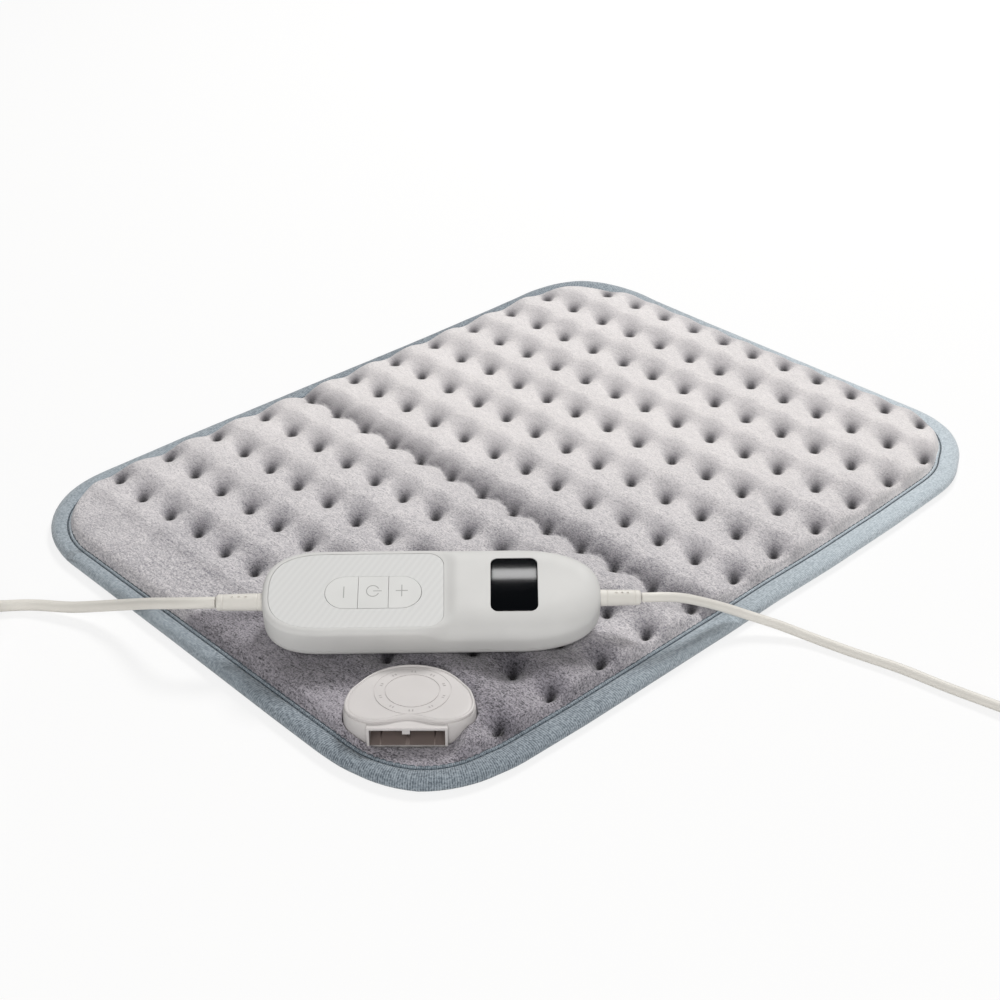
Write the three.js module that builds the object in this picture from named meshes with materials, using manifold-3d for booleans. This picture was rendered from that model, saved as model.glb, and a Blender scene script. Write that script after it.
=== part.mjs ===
// Heating pad with a hand controller: a tufted plush pad with a bound edge, a moulded socket near
// one corner, a controller that rests on the pad, a mains lead with its plug and a pad lead with
// its connector. Millimetres, +Z up. The origin is the middle of the pad's underside, +X runs
// along the pad's long side and the socket is near the -X -Y corner.
import * as THREE from 'three';
import { mergeVertices } from 'three/addons/utils/BufferGeometryUtils.js';
import Module from 'manifold-3d';

const wasm = await Module();
wasm.setup();

// Shared clearances
const gap = 0.3;
const overrun = 2;

// Pad outline and its layers
const padLength = 400;
const padWidth = 300;
const padCornerRadius = 56;
const backThickness = 1.2;
const feltThickness = 1;
const feltInset = 16;
const wireDiameter = 1.2;
const coverMinWall = 0.7;
const marginHeight = 3.5;
const crownHeight = 9;
const edgeCrownHeight = 5;

// Bound edge
const bindingWidth = 11;
const bindingHeight = 5.9;
const tapeThickness = 0.8;
const bindingEdgeRadius = 2.4;
const stitchInset = 8;
const stitchDepth = 0.5;
const stitchHalfWidth = 0.9;
const hemInset = 2.7;
const hemThickness = 0.8;

// Tufts
const tuftColumns = 12;
const tuftRows = 13;
const tuftMarginLeft = 52.7;
const tuftMarginRight = 20.6;
const tuftMarginFront = 20;
const tuftMarginBack = 18.4;
const firstTuftX = tuftMarginLeft - padLength / 2;
const firstTuftY = tuftMarginFront - padWidth / 2;
const tuftPitchX = (padLength - tuftMarginLeft - tuftMarginRight) / (tuftColumns - 1);
const tuftPitchY = (padWidth - tuftMarginFront - tuftMarginBack) / (tuftRows - 1);
const tuftRadius = 4.5;
const tuftShoulder = 4.2;
const creaseColumn = 4;
const creaseShoulder = 4;
const latticeInset = 13.8;
const shoulderInset = 12.9;

// Socket, placed from the pad's -X and -Y edges
const socketMarginLeft = 42.85;
const socketMarginFront = 55.85;
const socketX = socketMarginLeft - padLength / 2;
const socketY = socketMarginFront - padWidth / 2;
const socketYaw = -44;
const socketHalfWidth = 25.9;
const socketBack = 17.9;
const socketLobe = 21.7;
const socketLobeX = 13.5;
const socketNotch = 2.5;
const socketBulge = 1.3;
const socketFrontHeight = 17.5;
const socketTilt = 5.4;
const socketRimWidth = 1.5;
const socketRimHeight = 0.4;
const slotWidth = 29.6;
const slotHeight = 8.4;
const slotTop = 13.5;
const slotFrameWall = 1.1;
const slotFrameProud = 0.6;
const slotDepth = 9.6;
const approachLength = 14;
const keyWidth = 2.7;
const keyHeight = 1.4;
const keyDepth = 3;
const blockDepth = 9.5;
const chamberDepth = 7.5;
const chamberWall = 0.8;
const chamberRib = 3.6;
const chamberNarrow = 3.2;
const contactThickness = 0.8;
const contactWideWidth = 4;
const contactNarrowWidth = 1.8;
const contactLength = 11;
const wiringDepth = 8.5;
const fuseDiameter = 4;
const fuseLength = 12;
const flangeWidth = 4;
const flangeEdgeInset = 14.4;
const flangeThickness = 1.2;
const postDiameter = 3;
const postHeight = 4;
const postSideX = 20.5;
const postSideY = -4;
const postBackY = 11.5;

// Heating wire: its margins from the pad's edges, and the clear area round the socket
const wireRuns = 12;
const wireSides = 5;
const wireMarginRight = 32;
const wireMarginLeft = 42;
const wireMarginFront = 32;
const wireMarginBack = 28;
const wireReturnMargin = 29;
const wireSocketClearX = 53.5;
const wireSocketClearY = 53.8;
const wireEndX = padLength / 2 - wireMarginRight;
const wireStartX = wireMarginLeft - padLength / 2;
const wireShortStartX = socketX + wireSocketClearX;
const wireFirstY = wireMarginFront - padWidth / 2;
const wireLastY = padWidth / 2 - wireMarginBack;
const wireSocketSideY = socketY + wireSocketClearY;
const wireReturnX = wireReturnMargin - padLength / 2;

// Controller body, in its own axes: x along it, y across it, z out of its face
const controllerPastSocketX = 39.39;
const controllerPastSocketY = 29.45;
const controllerX = socketX + controllerPastSocketX;
const controllerY = socketY + controllerPastSocketY;
const controllerZ = 13.8;
const controllerYaw = -42.86;
const controllerTilt = 15;
const controllerLength = 140;
const controllerWidth = 45.1;
const controllerHeight = 20;
const bellyDepth = 7.3;
const bellyInset = 18;
const squareEndLength = 30;
const taperEndLength = 36;
const shellWall = 2;
const ceilingWall = 1.5;
const splitHeight = 8;
const domeHeight = 1.8;
const domeStartShare = 0.03286;
const domeStart = domeStartShare * controllerLength;
const domeRun = 5.5;
const rimWidth = 2.7;
const edgeRounding = 1.8;
const panelThickness = 0.5;
const panelRecess = 0.1;
const panelCornerRadius = 7;

// Buttons and switches
const keypadShare = -0.17643;
const keypadX = keypadShare * controllerLength;
const keypadLength = 39.6;
const keypadY = -1.2;
const keypadWidth = 16.6;
const powerButtonLength = 12.6;
const buttonProud = 0.35;
const buttonTravel = 0.6;
const flangeReach = 0.9;
const buttonFlange = 0.8;
const switchSide = 6;
const switchHeight = 3.4;
const plungerDiameter = 3.4;
const plungerSunk = 0.9;
const stemDiameter = 4;

// Display
const displayShare = 0.24071;
const displayX = displayShare * controllerLength;
const displayY = 1;
const displayLength = 19.4;
const displayWidth = 28.2;
const displayCornerRadius = 2.3;
const windowThickness = 1.2;
const windowRecess = 0.1;
const windowLedge = 1.2;

// Circuit board and screws
const boardTop = 10.9;
const boardThickness = 1.6;
const boardEndMargins = 22;
const boardSideMargins = 8.2;
const boardLength = controllerLength - boardEndMargins;
const boardWidth = controllerWidth - boardSideMargins;
const boardCornerRadius = 12;
const bossDiameter = 7;
const bossShare = 0.35714;
const bossSideMargin = 9.6;
const bossX = bossShare * controllerLength;
const bossY = controllerWidth / 2 - bossSideMargin;
const screwDiameter = 2.4;
const screwHeadDiameter = 5;
const screwHeadHeight = 1.6;
const screwLength = 13;
const headSeat = 3.2;

// Strain reliefs
const reliefDrop = 7;
const mainsReliefLength = 20.5;
const mainsReliefRoot = 7.5;
const mainsReliefEnd = 6.9;
const leadReliefLength = 17;
const leadReliefRoot = 7;
const leadReliefEnd = 6.4;
const reliefCollar = 2.2;

// Cords
const mainsDiameter = 5;
const leadDiameter = 4.2;
const coilClearance = 0.6;
const tieThickness = 0.9;
const tieWidth = 9;
const tieCornerRadius = 3;
const mainsTailLength = 44;
const leadTailLength = 30;

// Plug
const plugLength = 48;
const plugHalfWidth = 17.65;
const plugHalfHeight = 6.85;
const pinDiameter = 4;
const pinLength = 19;
const pinSpacing = 18.6;
const pinSeatDepth = 6;

// Connector of the pad lead
const noseClearance = 0.5;
const noseLength = 9;
const connectorLength = 40;
const connectorHalfWidth = 17;
const connectorHalfHeight = 6.2;
const bladeReach = 6;
const bladeSeat = 4;

// Levels that follow from the layers
const feltBottom = backThickness + gap;
const feltTop = feltBottom + feltThickness;
const wireZ = feltTop + gap + wireDiameter / 2;
const coverBottom = feltTop + gap + wireDiameter + gap;
const tuftFloor = coverBottom + coverMinWall;
const marginTop = coverBottom + marginHeight;
const crownTop = coverBottom + crownHeight;
const edgeCrownTop = coverBottom + edgeCrownHeight;
const backHemBottom = tapeThickness + gap;
const backHemTop = backHemBottom + hemThickness;
const coverHemBottom = backHemTop + gap;
const coverHemTop = bindingHeight - tapeThickness - 2 * gap;
const slotBottom = slotTop - slotHeight;
const flangeBottom = feltTop + gap;
const flangeTop = flangeBottom + flangeThickness;
const housingBottom = flangeTop + gap;
const slotMouthY = -(socketLobe + socketBulge);
const blockFrontY = slotMouthY + slotDepth - slotFrameProud;

// Materials
function material(color, roughness, metalness = 0) {
  return new THREE.MeshStandardMaterial({ color, roughness, metalness });
}
const plushMaterial = material(0xcbc6cc, 0.95);
const backMaterial = material(0xb9b7bd, 0.95);
const feltMaterial = material(0xe6e4de, 0.95);
const tapeMaterial = material(0x8e9ba5, 0.9);
const wireMaterial = material(0xb8463a, 0.6);
const housingMaterial = material(0xe4e2df, 0.4);
const shellMaterial = material(0xe2e3df, 0.35);
const panelMaterial = material(0xdcdedd, 0.5);
const blockMaterial = material(0x6b5f58, 0.6);
const metalMaterial = material(0xc9b27a, 0.3, 1);
const steelMaterial = material(0xb9bcc0, 0.3, 1);
const windowMaterial = material(0x0a0d10, 0.08);
const displayMaterial = material(0x3a4046, 0.4);
const boardMaterial = material(0x2f6b3c, 0.6);
const switchMaterial = material(0x2a2c30, 0.5);
const fuseMaterial = material(0xd8d4c8, 0.5);
const cordMaterial = material(0xd9d7cf, 0.45);
const tieMaterial = material(0x3b3d40, 0.7);

const object = new THREE.Group();

// Adds a named mesh to a group
function place(parent, name, geometry, meshMaterial) {
  const mesh = new THREE.Mesh(geometry, meshMaterial);
  mesh.name = name;
  parent.add(mesh);
  return mesh;
}

// Solid helpers
function toSolid(geometry) {
  const bare = new THREE.BufferGeometry();
  bare.setAttribute('position', geometry.getAttribute('position').clone());
  if (geometry.index) bare.setIndex(geometry.index.clone());
  const merged = mergeVertices(bare, 1e-4);
  return new wasm.Manifold(new wasm.Mesh({
    numProp: 3,
    vertProperties: new Float32Array(merged.getAttribute('position').array),
    triVerts: new Uint32Array(merged.index.array),
  }));
}

function toGeometry(solid) {
  const mesh = solid.getMesh();
  const geometry = new THREE.BufferGeometry();
  geometry.setAttribute('position', new THREE.BufferAttribute(new Float32Array(mesh.vertProperties), 3));
  geometry.setIndex(new THREE.BufferAttribute(new Uint32Array(mesh.triVerts), 1));
  return geometry;
}

function meshFrom(points, faces) {
  const geometry = new THREE.BufferGeometry();
  geometry.setAttribute('position', new THREE.Float32BufferAttribute(points.flatMap((p) => [p.x, p.y, p.z]), 3));
  geometry.setIndex(faces.flat());
  return geometry;
}

function boxSolid(x0, x1, y0, y1, z0, z1) {
  const geometry = new THREE.BoxGeometry(x1 - x0, y1 - y0, z1 - z0);
  geometry.translate((x0 + x1) / 2, (y0 + y1) / 2, (z0 + z1) / 2);
  return toSolid(geometry);
}

function cylinderGeometry(radius, z0, z1, x = 0, y = 0, sides = 14) {
  const geometry = new THREE.CylinderGeometry(radius, radius, z1 - z0, sides);
  geometry.rotateX(Math.PI / 2);
  geometry.translate(x, y, (z0 + z1) / 2);
  return geometry;
}

function cylinderSolid(radius, z0, z1, x, y, sides) {
  return toSolid(cylinderGeometry(radius, z0, z1, x, y, sides));
}

function prism(shape, z0, z1, curveSegments = 8) {
  const geometry = new THREE.ExtrudeGeometry(shape, { depth: z1 - z0, bevelEnabled: false, curveSegments });
  geometry.translate(0, 0, z0);
  return geometry;
}

// A closed body through rings of equal counts, listed anticlockwise seen from the last ring,
// closed by a fan about the middle of each end ring
function stack(rings) {
  const count = rings[0].length;
  const points = rings.flat();
  const faces = [];
  for (let level = 0; level + 1 < rings.length; level += 1) {
    for (let k = 0; k < count; k += 1) {
      const a = level * count + k;
      const b = level * count + ((k + 1) % count);
      faces.push([a, b, b + count], [a, b + count, a + count]);
    }
  }
  const middle = (ring) => ring.reduce((sum, p) => sum.add(p), new THREE.Vector3()).divideScalar(count);
  const first = points.push(middle(rings[0])) - 1;
  const last = points.push(middle(rings[rings.length - 1])) - 1;
  const lastStart = (rings.length - 1) * count;
  for (let k = 0; k < count; k += 1) {
    const next = (k + 1) % count;
    faces.push([first, next, k], [last, lastStart + k, lastStart + next]);
  }
  return meshFrom(points, faces);
}

// The same, with end rings that mirror in y and are closed by strips across y
function stackAcross(rings) {
  const count = rings[0].length;
  const points = rings.flat();
  const faces = [];
  for (let level = 0; level + 1 < rings.length; level += 1) {
    for (let k = 0; k < count; k += 1) {
      const a = level * count + k;
      const b = level * count + ((k + 1) % count);
      faces.push([a, b, b + count], [a, b + count, a + count]);
    }
  }
  const lastStart = (rings.length - 1) * count;
  for (let k = 0; k < count / 2 - 1; k += 1) {
    const mirror = count - 1 - k;
    faces.push([k, mirror, k + 1], [k + 1, mirror, mirror - 1]);
    faces.push([lastStart + k, lastStart + k + 1, lastStart + mirror]);
    faces.push([lastStart + k + 1, lastStart + mirror - 1, lastStart + mirror]);
  }
  return meshFrom(points, faces);
}

// A tube through points, its ends closed flat
function tube(points, radius, sides) {
  const normal = new THREE.Vector3(0, 0, 1);
  const rings = points.map((point, index) => {
    const before = points[Math.max(index - 1, 0)];
    const after = points[Math.min(index + 1, points.length - 1)];
    const along = after.clone().sub(before).normalize();
    const side = new THREE.Vector3().crossVectors(normal, along).normalize();
    const up = new THREE.Vector3().crossVectors(along, side);
    return Array.from({ length: sides }, (_, k) => {
      const angle = (2 * Math.PI * (k + 0.5)) / sides;
      return point.clone().addScaledVector(side, radius * Math.cos(angle)).addScaledVector(up, radius * Math.sin(angle));
    });
  });
  return stack(rings);
}

// A round cord through a few chosen points
function cordAlong(points, diameter, sides) {
  const curve = new THREE.CatmullRomCurve3(points, false, 'centripetal');
  const section = new THREE.Shape();
  for (let k = 0; k < sides; k += 1) {
    const angle = (2 * Math.PI * k) / sides;
    const x = (diameter / 2) * Math.cos(angle);
    const y = (diameter / 2) * Math.sin(angle);
    if (k === 0) section.moveTo(x, y);
    else section.lineTo(x, y);
  }
  section.closePath();
  const steps = Math.ceil(curve.getLength() / (2 * diameter));
  return { geometry: new THREE.ExtrudeGeometry(section, { steps, extrudePath: curve, bevelEnabled: false }), curve };
}

// The pad's rounded rectangle, drawn in by an inset
const cornerSteps = 7;
function padLoop(inset, z) {
  const radius = padCornerRadius - inset;
  const points = [];
  for (let corner = 0; corner < 4; corner += 1) {
    const signX = corner === 0 || corner === 3 ? 1 : -1;
    const signY = corner < 2 ? 1 : -1;
    for (let step = 0; step <= cornerSteps; step += 1) {
      const angle = ((corner + step / cornerSteps) * Math.PI) / 2;
      points.push(new THREE.Vector3(
        signX * (padLength / 2 - padCornerRadius) + radius * Math.cos(angle),
        signY * (padWidth / 2 - padCornerRadius) + radius * Math.sin(angle),
        z,
      ));
    }
  }
  return points;
}

// Moves a point of the plan inside the rounded rectangle
function clampToPad(x, y, inset) {
  const halfX = padLength / 2 - inset;
  const halfY = padWidth / 2 - inset;
  const radius = padCornerRadius - inset;
  const cx = THREE.MathUtils.clamp(x, -halfX, halfX);
  const cy = THREE.MathUtils.clamp(y, -halfY, halfY);
  const overX = Math.abs(cx) - (halfX - radius);
  const overY = Math.abs(cy) - (halfY - radius);
  if (overX <= 0 || overY <= 0) return [cx, cy];
  const reach = Math.hypot(overX, overY);
  if (reach <= radius) return [cx, cy];
  const share = radius / reach;
  return [
    Math.sign(cx) * (halfX - radius + overX * share),
    Math.sign(cy) * (halfY - radius + overY * share),
  ];
}

// Back cover: a flat sheet whose hem steps up into the binding
function backCover() {
  return stack([
    padLoop(bindingWidth + hemThickness, 0),
    padLoop(bindingWidth, backHemBottom),
    padLoop(hemInset, backHemBottom),
    padLoop(hemInset, backHemTop),
    padLoop(bindingWidth, backHemTop),
    padLoop(bindingWidth + hemThickness, backThickness),
  ]);
}

// Felt that carries the heating wire
function heatingFelt() {
  return stack([padLoop(feltInset, feltBottom), padLoop(feltInset, feltTop)]);
}

// Heating wire: runs to and fro along the pad, and both ends reach the socket's flange
function heatingWire() {
  const pitch = (wireLastY - wireFirstY) / (wireRuns - 1);
  const turnRadius = pitch / 2;
  const turnSteps = 4;
  const points = [];
  const add = (x, y) => points.push(new THREE.Vector3(x, y, wireZ));
  const turn = (x, y, from, to, radius) => {
    for (let step = 0; step <= turnSteps; step += 1) {
      const angle = from + ((to - from) * step) / turnSteps;
      add(x + radius * Math.cos(angle), y + radius * Math.sin(angle));
    }
  };
  const runStart = (y) => (y < wireSocketSideY ? wireShortStartX : wireStartX);
  const quarter = Math.PI / 2;
  const socketReach = socketHalfWidth + flangeWidth + overrun;
  add(socketX + socketReach, wireFirstY);
  for (let run = 0; run < wireRuns; run += 1) {
    const y = wireFirstY + run * pitch;
    const outward = run % 2 === 0;
    if (run === wireRuns - 1) break;
    if (outward) turn(wireEndX - turnRadius, y + turnRadius, -quarter, quarter, turnRadius);
    else turn(runStart(y + pitch) + turnRadius, y + turnRadius, 3 * quarter, quarter, turnRadius);
  }
  turn(wireReturnX + turnRadius, wireLastY - turnRadius, quarter, 2 * quarter, turnRadius);
  add(wireReturnX, socketY + socketReach);
  return tube(points, wireDiameter / 2, wireSides);
}

// Bound edge: a tape folded round the hems and stitched near its inner edge
function edgeBinding() {
  const section = [[bindingWidth, 0]];
  const arcSteps = 4;
  for (let step = 0; step <= arcSteps; step += 1) {
    const angle = (Math.PI * step) / arcSteps;
    section.push([
      bindingEdgeRadius - bindingEdgeRadius * Math.sin(angle),
      (bindingHeight / 2) * (1 - Math.cos(angle)),
    ]);
  }
  section.push(
    [stitchInset - stitchHalfWidth, bindingHeight - gap],
    [stitchInset, bindingHeight - gap - stitchDepth],
    [stitchInset + stitchHalfWidth, bindingHeight - gap],
    [bindingWidth, bindingHeight - tapeThickness],
    [bindingWidth, bindingHeight - tapeThickness - gap],
    [bindingEdgeRadius, bindingHeight - tapeThickness - gap],
    [tapeThickness, bindingHeight / 2],
    [bindingEdgeRadius, tapeThickness],
    [bindingWidth, tapeThickness],
  );
  const rings = section.map(([inset, z]) => padLoop(inset, z));
  const count = rings[0].length;
  const faces = [];
  rings.forEach((_, level) => {
    const next = (level + 1) % rings.length;
    for (let k = 0; k < count; k += 1) {
      const after = (k + 1) % count;
      faces.push([level * count + k, level * count + after, next * count + after]);
      faces.push([level * count + k, next * count + after, next * count + k]);
    }
  });
  return meshFrom(rings.flat(), faces);
}

// The controller's lowest level, where it rests on the plush
const tiltAngle = THREE.MathUtils.degToRad(controllerTilt);
const yawAngle = THREE.MathUtils.degToRad(controllerYaw);
function controllerLowest() {
  const flatHalf = controllerWidth / 2 - bellyInset;
  const angle = Math.atan2(bellyInset * Math.sin(tiltAngle), bellyDepth * Math.cos(tiltAngle));
  return controllerZ
    + bellyDepth * (1 - Math.cos(angle)) * Math.cos(tiltAngle)
    - (flatHalf + bellyInset * Math.sin(angle)) * Math.sin(tiltAngle);
}

// Top of the plush, pressed down where the controller lies on it
function pressed(x, y, z) {
  const dx = x - controllerX;
  const dy = y - controllerY;
  const along = dx * Math.cos(yawAngle) + dy * Math.sin(yawAngle);
  const across = -dx * Math.sin(yawAngle) + dy * Math.cos(yawAngle);
  const under = Math.abs(along) < controllerLength / 2 + tuftRadius
    && across < tuftPitchY / 2 + tuftRadius && across > -(controllerWidth / 2 + 2 * tuftRadius);
  return under ? Math.min(z, controllerLowest() - gap) : z;
}

// Plush cover: a crowned cushion with a deep tuft in each cell and a crease along one column, cut
// out round the socket and cut low in front of its slot
function plushCover() {
  const points = [];
  const faces = [];
  const add = (x, y, z) => points.push(new THREE.Vector3(x, y, pressed(x, y, z))) - 1;
  const columnX = (column) => firstTuftX + column * tuftPitchX;
  const rowY = (row) => firstTuftY + row * tuftPitchY;
  const corners = [];
  for (let column = 0; column <= tuftColumns; column += 1) {
    corners.push([]);
    for (let row = 0; row <= tuftRows; row += 1) {
      const [x, y] = clampToPad(columnX(column - 0.5), rowY(row - 0.5), latticeInset);
      const atEdge = column === 0 || column === tuftColumns || row === 0 || row === tuftRows;
      corners[column].push(add(x, y, atEdge ? edgeCrownTop : crownTop));
    }
  }
  const creases = [];
  for (let row = 0; row <= tuftRows; row += 1) {
    const [x, y] = clampToPad(columnX(creaseColumn), rowY(row - 0.5), latticeInset);
    creases.push(add(x, y, coverBottom + creaseShoulder));
  }
  const bare = (column, row) => column === tuftColumns - 1 && (row === 0 || row === tuftRows - 1);
  for (let column = 0; column < tuftColumns; column += 1) {
    for (let row = 0; row < tuftRows; row += 1) {
      const ring = [
        [corners[column + 1][row + 1]],
        [corners[column][row + 1]],
        [corners[column][row]],
        [corners[column + 1][row]],
      ].flat();
      if (bare(column, row)) {
        faces.push([ring[0], ring[1], ring[2]], [ring[0], ring[2], ring[3]]);
        continue;
      }
      const x = columnX(column);
      const y = rowY(row);
      const shoulder = coverBottom + (column === creaseColumn ? creaseShoulder : tuftShoulder);
      const pit = add(x, y, tuftFloor);
      const rim = [[1, 0], [0, 1], [-1, 0], [0, -1]].map(([dx, dy]) => add(x + dx * tuftRadius, y + dy * tuftRadius, shoulder));
      for (let k = 0; k < 4; k += 1) {
        const nextRim = rim[(k + 1) % 4];
        const crease = column === creaseColumn && k % 2 === 1 ? creases[k === 1 ? row + 1 : row] : null;
        faces.push([pit, rim[k], nextRim], [rim[k], ring[k], nextRim]);
        const before = ring[(k + 3) % 4];
        if (crease === null) faces.push([rim[k], before, ring[k]]);
        else faces.push([rim[k], before, crease], [rim[k], crease, ring[k]]);
      }
    }
  }
  const border = [];
  for (let column = 0; column < tuftColumns; column += 1) {
    border.push(corners[column][0]);
    if (column === creaseColumn) border.push(creases[0]);
  }
  for (let row = 0; row < tuftRows; row += 1) border.push(corners[tuftColumns][row]);
  for (let column = tuftColumns; column > 0; column -= 1) {
    border.push(corners[column][tuftRows]);
    if (column - 1 === creaseColumn) border.push(creases[tuftRows]);
  }
  for (let row = tuftRows; row > 0; row -= 1) border.push(corners[0][row]);
  const loops = [
    padLoop(shoulderInset, marginTop),
    padLoop(bindingWidth + gap, coverHemTop),
    padLoop(hemInset, coverHemTop),
    padLoop(hemInset, coverHemBottom),
    padLoop(bindingWidth + gap, coverHemBottom),
    padLoop((bindingWidth + feltInset) / 2, coverBottom),
  ];
  const starts = loops.map((loop) => {
    const start = points.length;
    points.push(...loop);
    return start;
  });
  const count = loops[0].length;
  const outer = Array.from({ length: count }, (_, k) => starts[0] + k);
  const flat = (index) => new THREE.Vector2(points[index].x, points[index].y);
  const rim = [...outer, ...border];
  THREE.ShapeUtils.triangulateShape(outer.map(flat), [border.map(flat)]).forEach((triangle) => {
    const [a, b, c] = triangle.map((k) => rim[k]);
    const turn = flat(b).sub(flat(a)).cross(flat(c).sub(flat(a)));
    faces.push(turn > 0 ? [a, b, c] : [a, c, b]);
  });
  for (let level = 0; level + 1 < loops.length; level += 1) {
    for (let k = 0; k < count; k += 1) {
      const next = (k + 1) % count;
      const [a, b] = [starts[level] + k, starts[level] + next];
      const [c, d] = [starts[level + 1] + k, starts[level + 1] + next];
      faces.push([a, d, b], [a, c, d]);
    }
  }
  const centre = points.push(new THREE.Vector3(0, 0, coverBottom)) - 1;
  const lastStart = starts[starts.length - 1];
  for (let k = 0; k < count; k += 1) faces.push([centre, lastStart + ((k + 1) % count), lastStart + k]);
  const hole = toSolid(prism(socketPlan(-2 * gap, -socketBulge), 0, crownTop + overrun, 6));
  const frameHalf = slotWidth / 2 + slotFrameWall + gap;
  const frameHole = boxSolid(
    -frameHalf, frameHalf, slotMouthY - slotFrameProud - 2 * gap, -socketLobe / 2, 0, crownTop + overrun,
  );
  const approach = boxSolid(
    -frameHalf, frameHalf, -(socketLobe + approachLength), -socketLobe / 2, slotBottom - gap, crownTop + overrun,
  );
  const cut = hole.add(frameHole).add(approach).rotate([0, 0, socketYaw]).translate([socketX, socketY, 0]);
  return toGeometry(toSolid(meshFrom(points, faces)).subtract(cut));
}

// Plan of the socket: a round back, two lobes and a notch between them at the front
function socketPlan(inset, notch) {
  const half = socketHalfWidth - inset;
  const arcY = socketBack - socketHalfWidth;
  const lobeY = -(socketLobe - inset);
  const arcDip = Math.PI / 18;
  const sideX = half * Math.cos(arcDip);
  const sideY = arcY - half * Math.sin(arcDip);
  const sideReach = (sideY - lobeY) / 2;
  const lobeReach = (sideX - socketLobeX) / 2;
  const shape = new THREE.Shape();
  shape.absarc(0, arcY, half, -arcDip, Math.PI + arcDip, false);
  shape.bezierCurveTo(
    -sideX + sideReach * Math.sin(arcDip), sideY - sideReach,
    -socketLobeX - lobeReach, lobeY,
    -socketLobeX, lobeY,
  );
  shape.bezierCurveTo(-socketLobeX / 2, lobeY, -socketLobeX / 3, lobeY + notch, 0, lobeY + notch);
  shape.bezierCurveTo(socketLobeX / 3, lobeY + notch, socketLobeX / 2, lobeY, socketLobeX, lobeY);
  shape.bezierCurveTo(
    socketLobeX + lobeReach, lobeY,
    sideX - sideReach * Math.sin(arcDip), sideY - sideReach,
    sideX, sideY,
  );
  return shape;
}

const socketPlanPoints = 56;
function socketRing(inset, notch, level) {
  const points = socketPlan(inset, notch).getSpacedPoints(socketPlanPoints);
  points.pop();
  return points.map((p) => new THREE.Vector3(p.x, p.y, typeof level === 'function' ? level(p.y) : level));
}

const socket = new THREE.Group();
socket.position.set(socketX, socketY, 0);
socket.rotation.z = THREE.MathUtils.degToRad(socketYaw);
object.add(socket);

// Level of the socket's sloping top face
function socketTop(y) {
  return socketFrontHeight - (y + socketLobe) * Math.tan(THREE.MathUtils.degToRad(socketTilt));
}

function postPlaces() {
  return [[-postSideX, postSideY], [postSideX, postSideY], [0, postBackY]];
}

// Socket housing: the moulded shell with a raised rim, the slot with its frame and its key
function socketHousing() {
  const rim = socketRimWidth;
  const body = toSolid(stack([
    socketRing(rim / 2, -socketBulge, housingBottom),
    socketRing(0, -socketBulge, housingBottom + rim),
    socketRing(0, -socketBulge, (y) => socketTop(y) - 2 * rim),
    socketRing(rim / 6, socketNotch / 3, (y) => socketTop(y) - rim / 2),
    socketRing(rim / 2, socketNotch, (y) => socketTop(y)),
    socketRing(rim, socketNotch, (y) => socketTop(y)),
    socketRing(rim + socketRimHeight, socketNotch, (y) => socketTop(y) - socketRimHeight),
    socketRing(4 * rim, socketNotch, (y) => socketTop(y) - socketRimHeight / 2),
  ]));
  const frame = boxSolid(
    -slotWidth / 2 - slotFrameWall, slotWidth / 2 + slotFrameWall,
    slotMouthY - slotFrameProud, -socketLobe / 2,
    housingBottom, slotTop + slotFrameWall,
  );
  const pocket = boxSolid(
    -slotWidth / 2, slotWidth / 2,
    slotMouthY - slotFrameProud - overrun, blockFrontY + blockDepth + wiringDepth,
    slotBottom, slotTop,
  );
  const key = boxSolid(
    -keyWidth / 2, keyWidth / 2,
    slotMouthY, slotMouthY + keyDepth,
    slotTop - keyHeight, slotTop + slotFrameWall / 2,
  );
  let housing = body.add(frame).subtract(pocket).add(key);
  postPlaces().forEach(([x, y]) => {
    housing = housing.subtract(cylinderSolid(
      postDiameter / 2 + gap, housingBottom - overrun, flangeTop + postHeight + gap, x, y, 12,
    ));
  });
  return toGeometry(housing);
}

// Socket base: a flange under the plush, trimmed where the pad's edge curves in, with posts that
// press into the housing
function socketBase() {
  const within = toSolid(stack([padLoop(flangeEdgeInset, 0), padLoop(flangeEdgeInset, crownTop)]))
    .translate([-socketX, -socketY, 0])
    .rotate([0, 0, -socketYaw]);
  let base = toSolid(stack([
    socketRing(-flangeWidth, -socketBulge, flangeBottom),
    socketRing(-flangeWidth, -socketBulge, flangeTop),
  ])).intersect(within);
  postPlaces().forEach(([x, y]) => {
    base = base.add(cylinderSolid(postDiameter / 2, flangeBottom, flangeTop + postHeight, x, y, 12));
  });
  return toGeometry(base);
}

// Chambers of the contact block, from left to right: middle and width of each
const blockWidth = slotWidth - 2 * gap;
const wideChamber = (blockWidth - chamberRib - 4 * chamberWall - 2 * chamberNarrow) / 2;
const chambers = [-1, 1].flatMap((side) => [
  { x: side * (chamberRib / 2 + wideChamber / 2), width: wideChamber, contact: contactWideWidth },
  {
    x: side * (chamberRib / 2 + wideChamber + chamberWall + chamberNarrow / 2),
    width: chamberNarrow,
    contact: contactNarrowWidth,
  },
]).sort((a, b) => a.x - b.x);
const slotMiddleZ = (slotTop + slotBottom) / 2;

function contactBlock() {
  const z0 = slotBottom + gap;
  const z1 = slotTop - gap;
  let block = boxSolid(-blockWidth / 2, blockWidth / 2, blockFrontY, blockFrontY + blockDepth, z0, z1);
  chambers.forEach(({ x, width, contact }) => {
    block = block.subtract(boxSolid(
      x - width / 2, x + width / 2,
      blockFrontY - overrun, blockFrontY + chamberDepth,
      z0 + chamberWall, z1 - chamberWall,
    ));
    block = block.subtract(boxSolid(
      x - contact / 2 - gap, x + contact / 2 + gap,
      blockFrontY + chamberDepth - overrun, blockFrontY + blockDepth + overrun,
      slotMiddleZ - contactThickness / 2 - gap, slotMiddleZ + contactThickness / 2 + gap,
    ));
  });
  return toGeometry(block);
}

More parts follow.
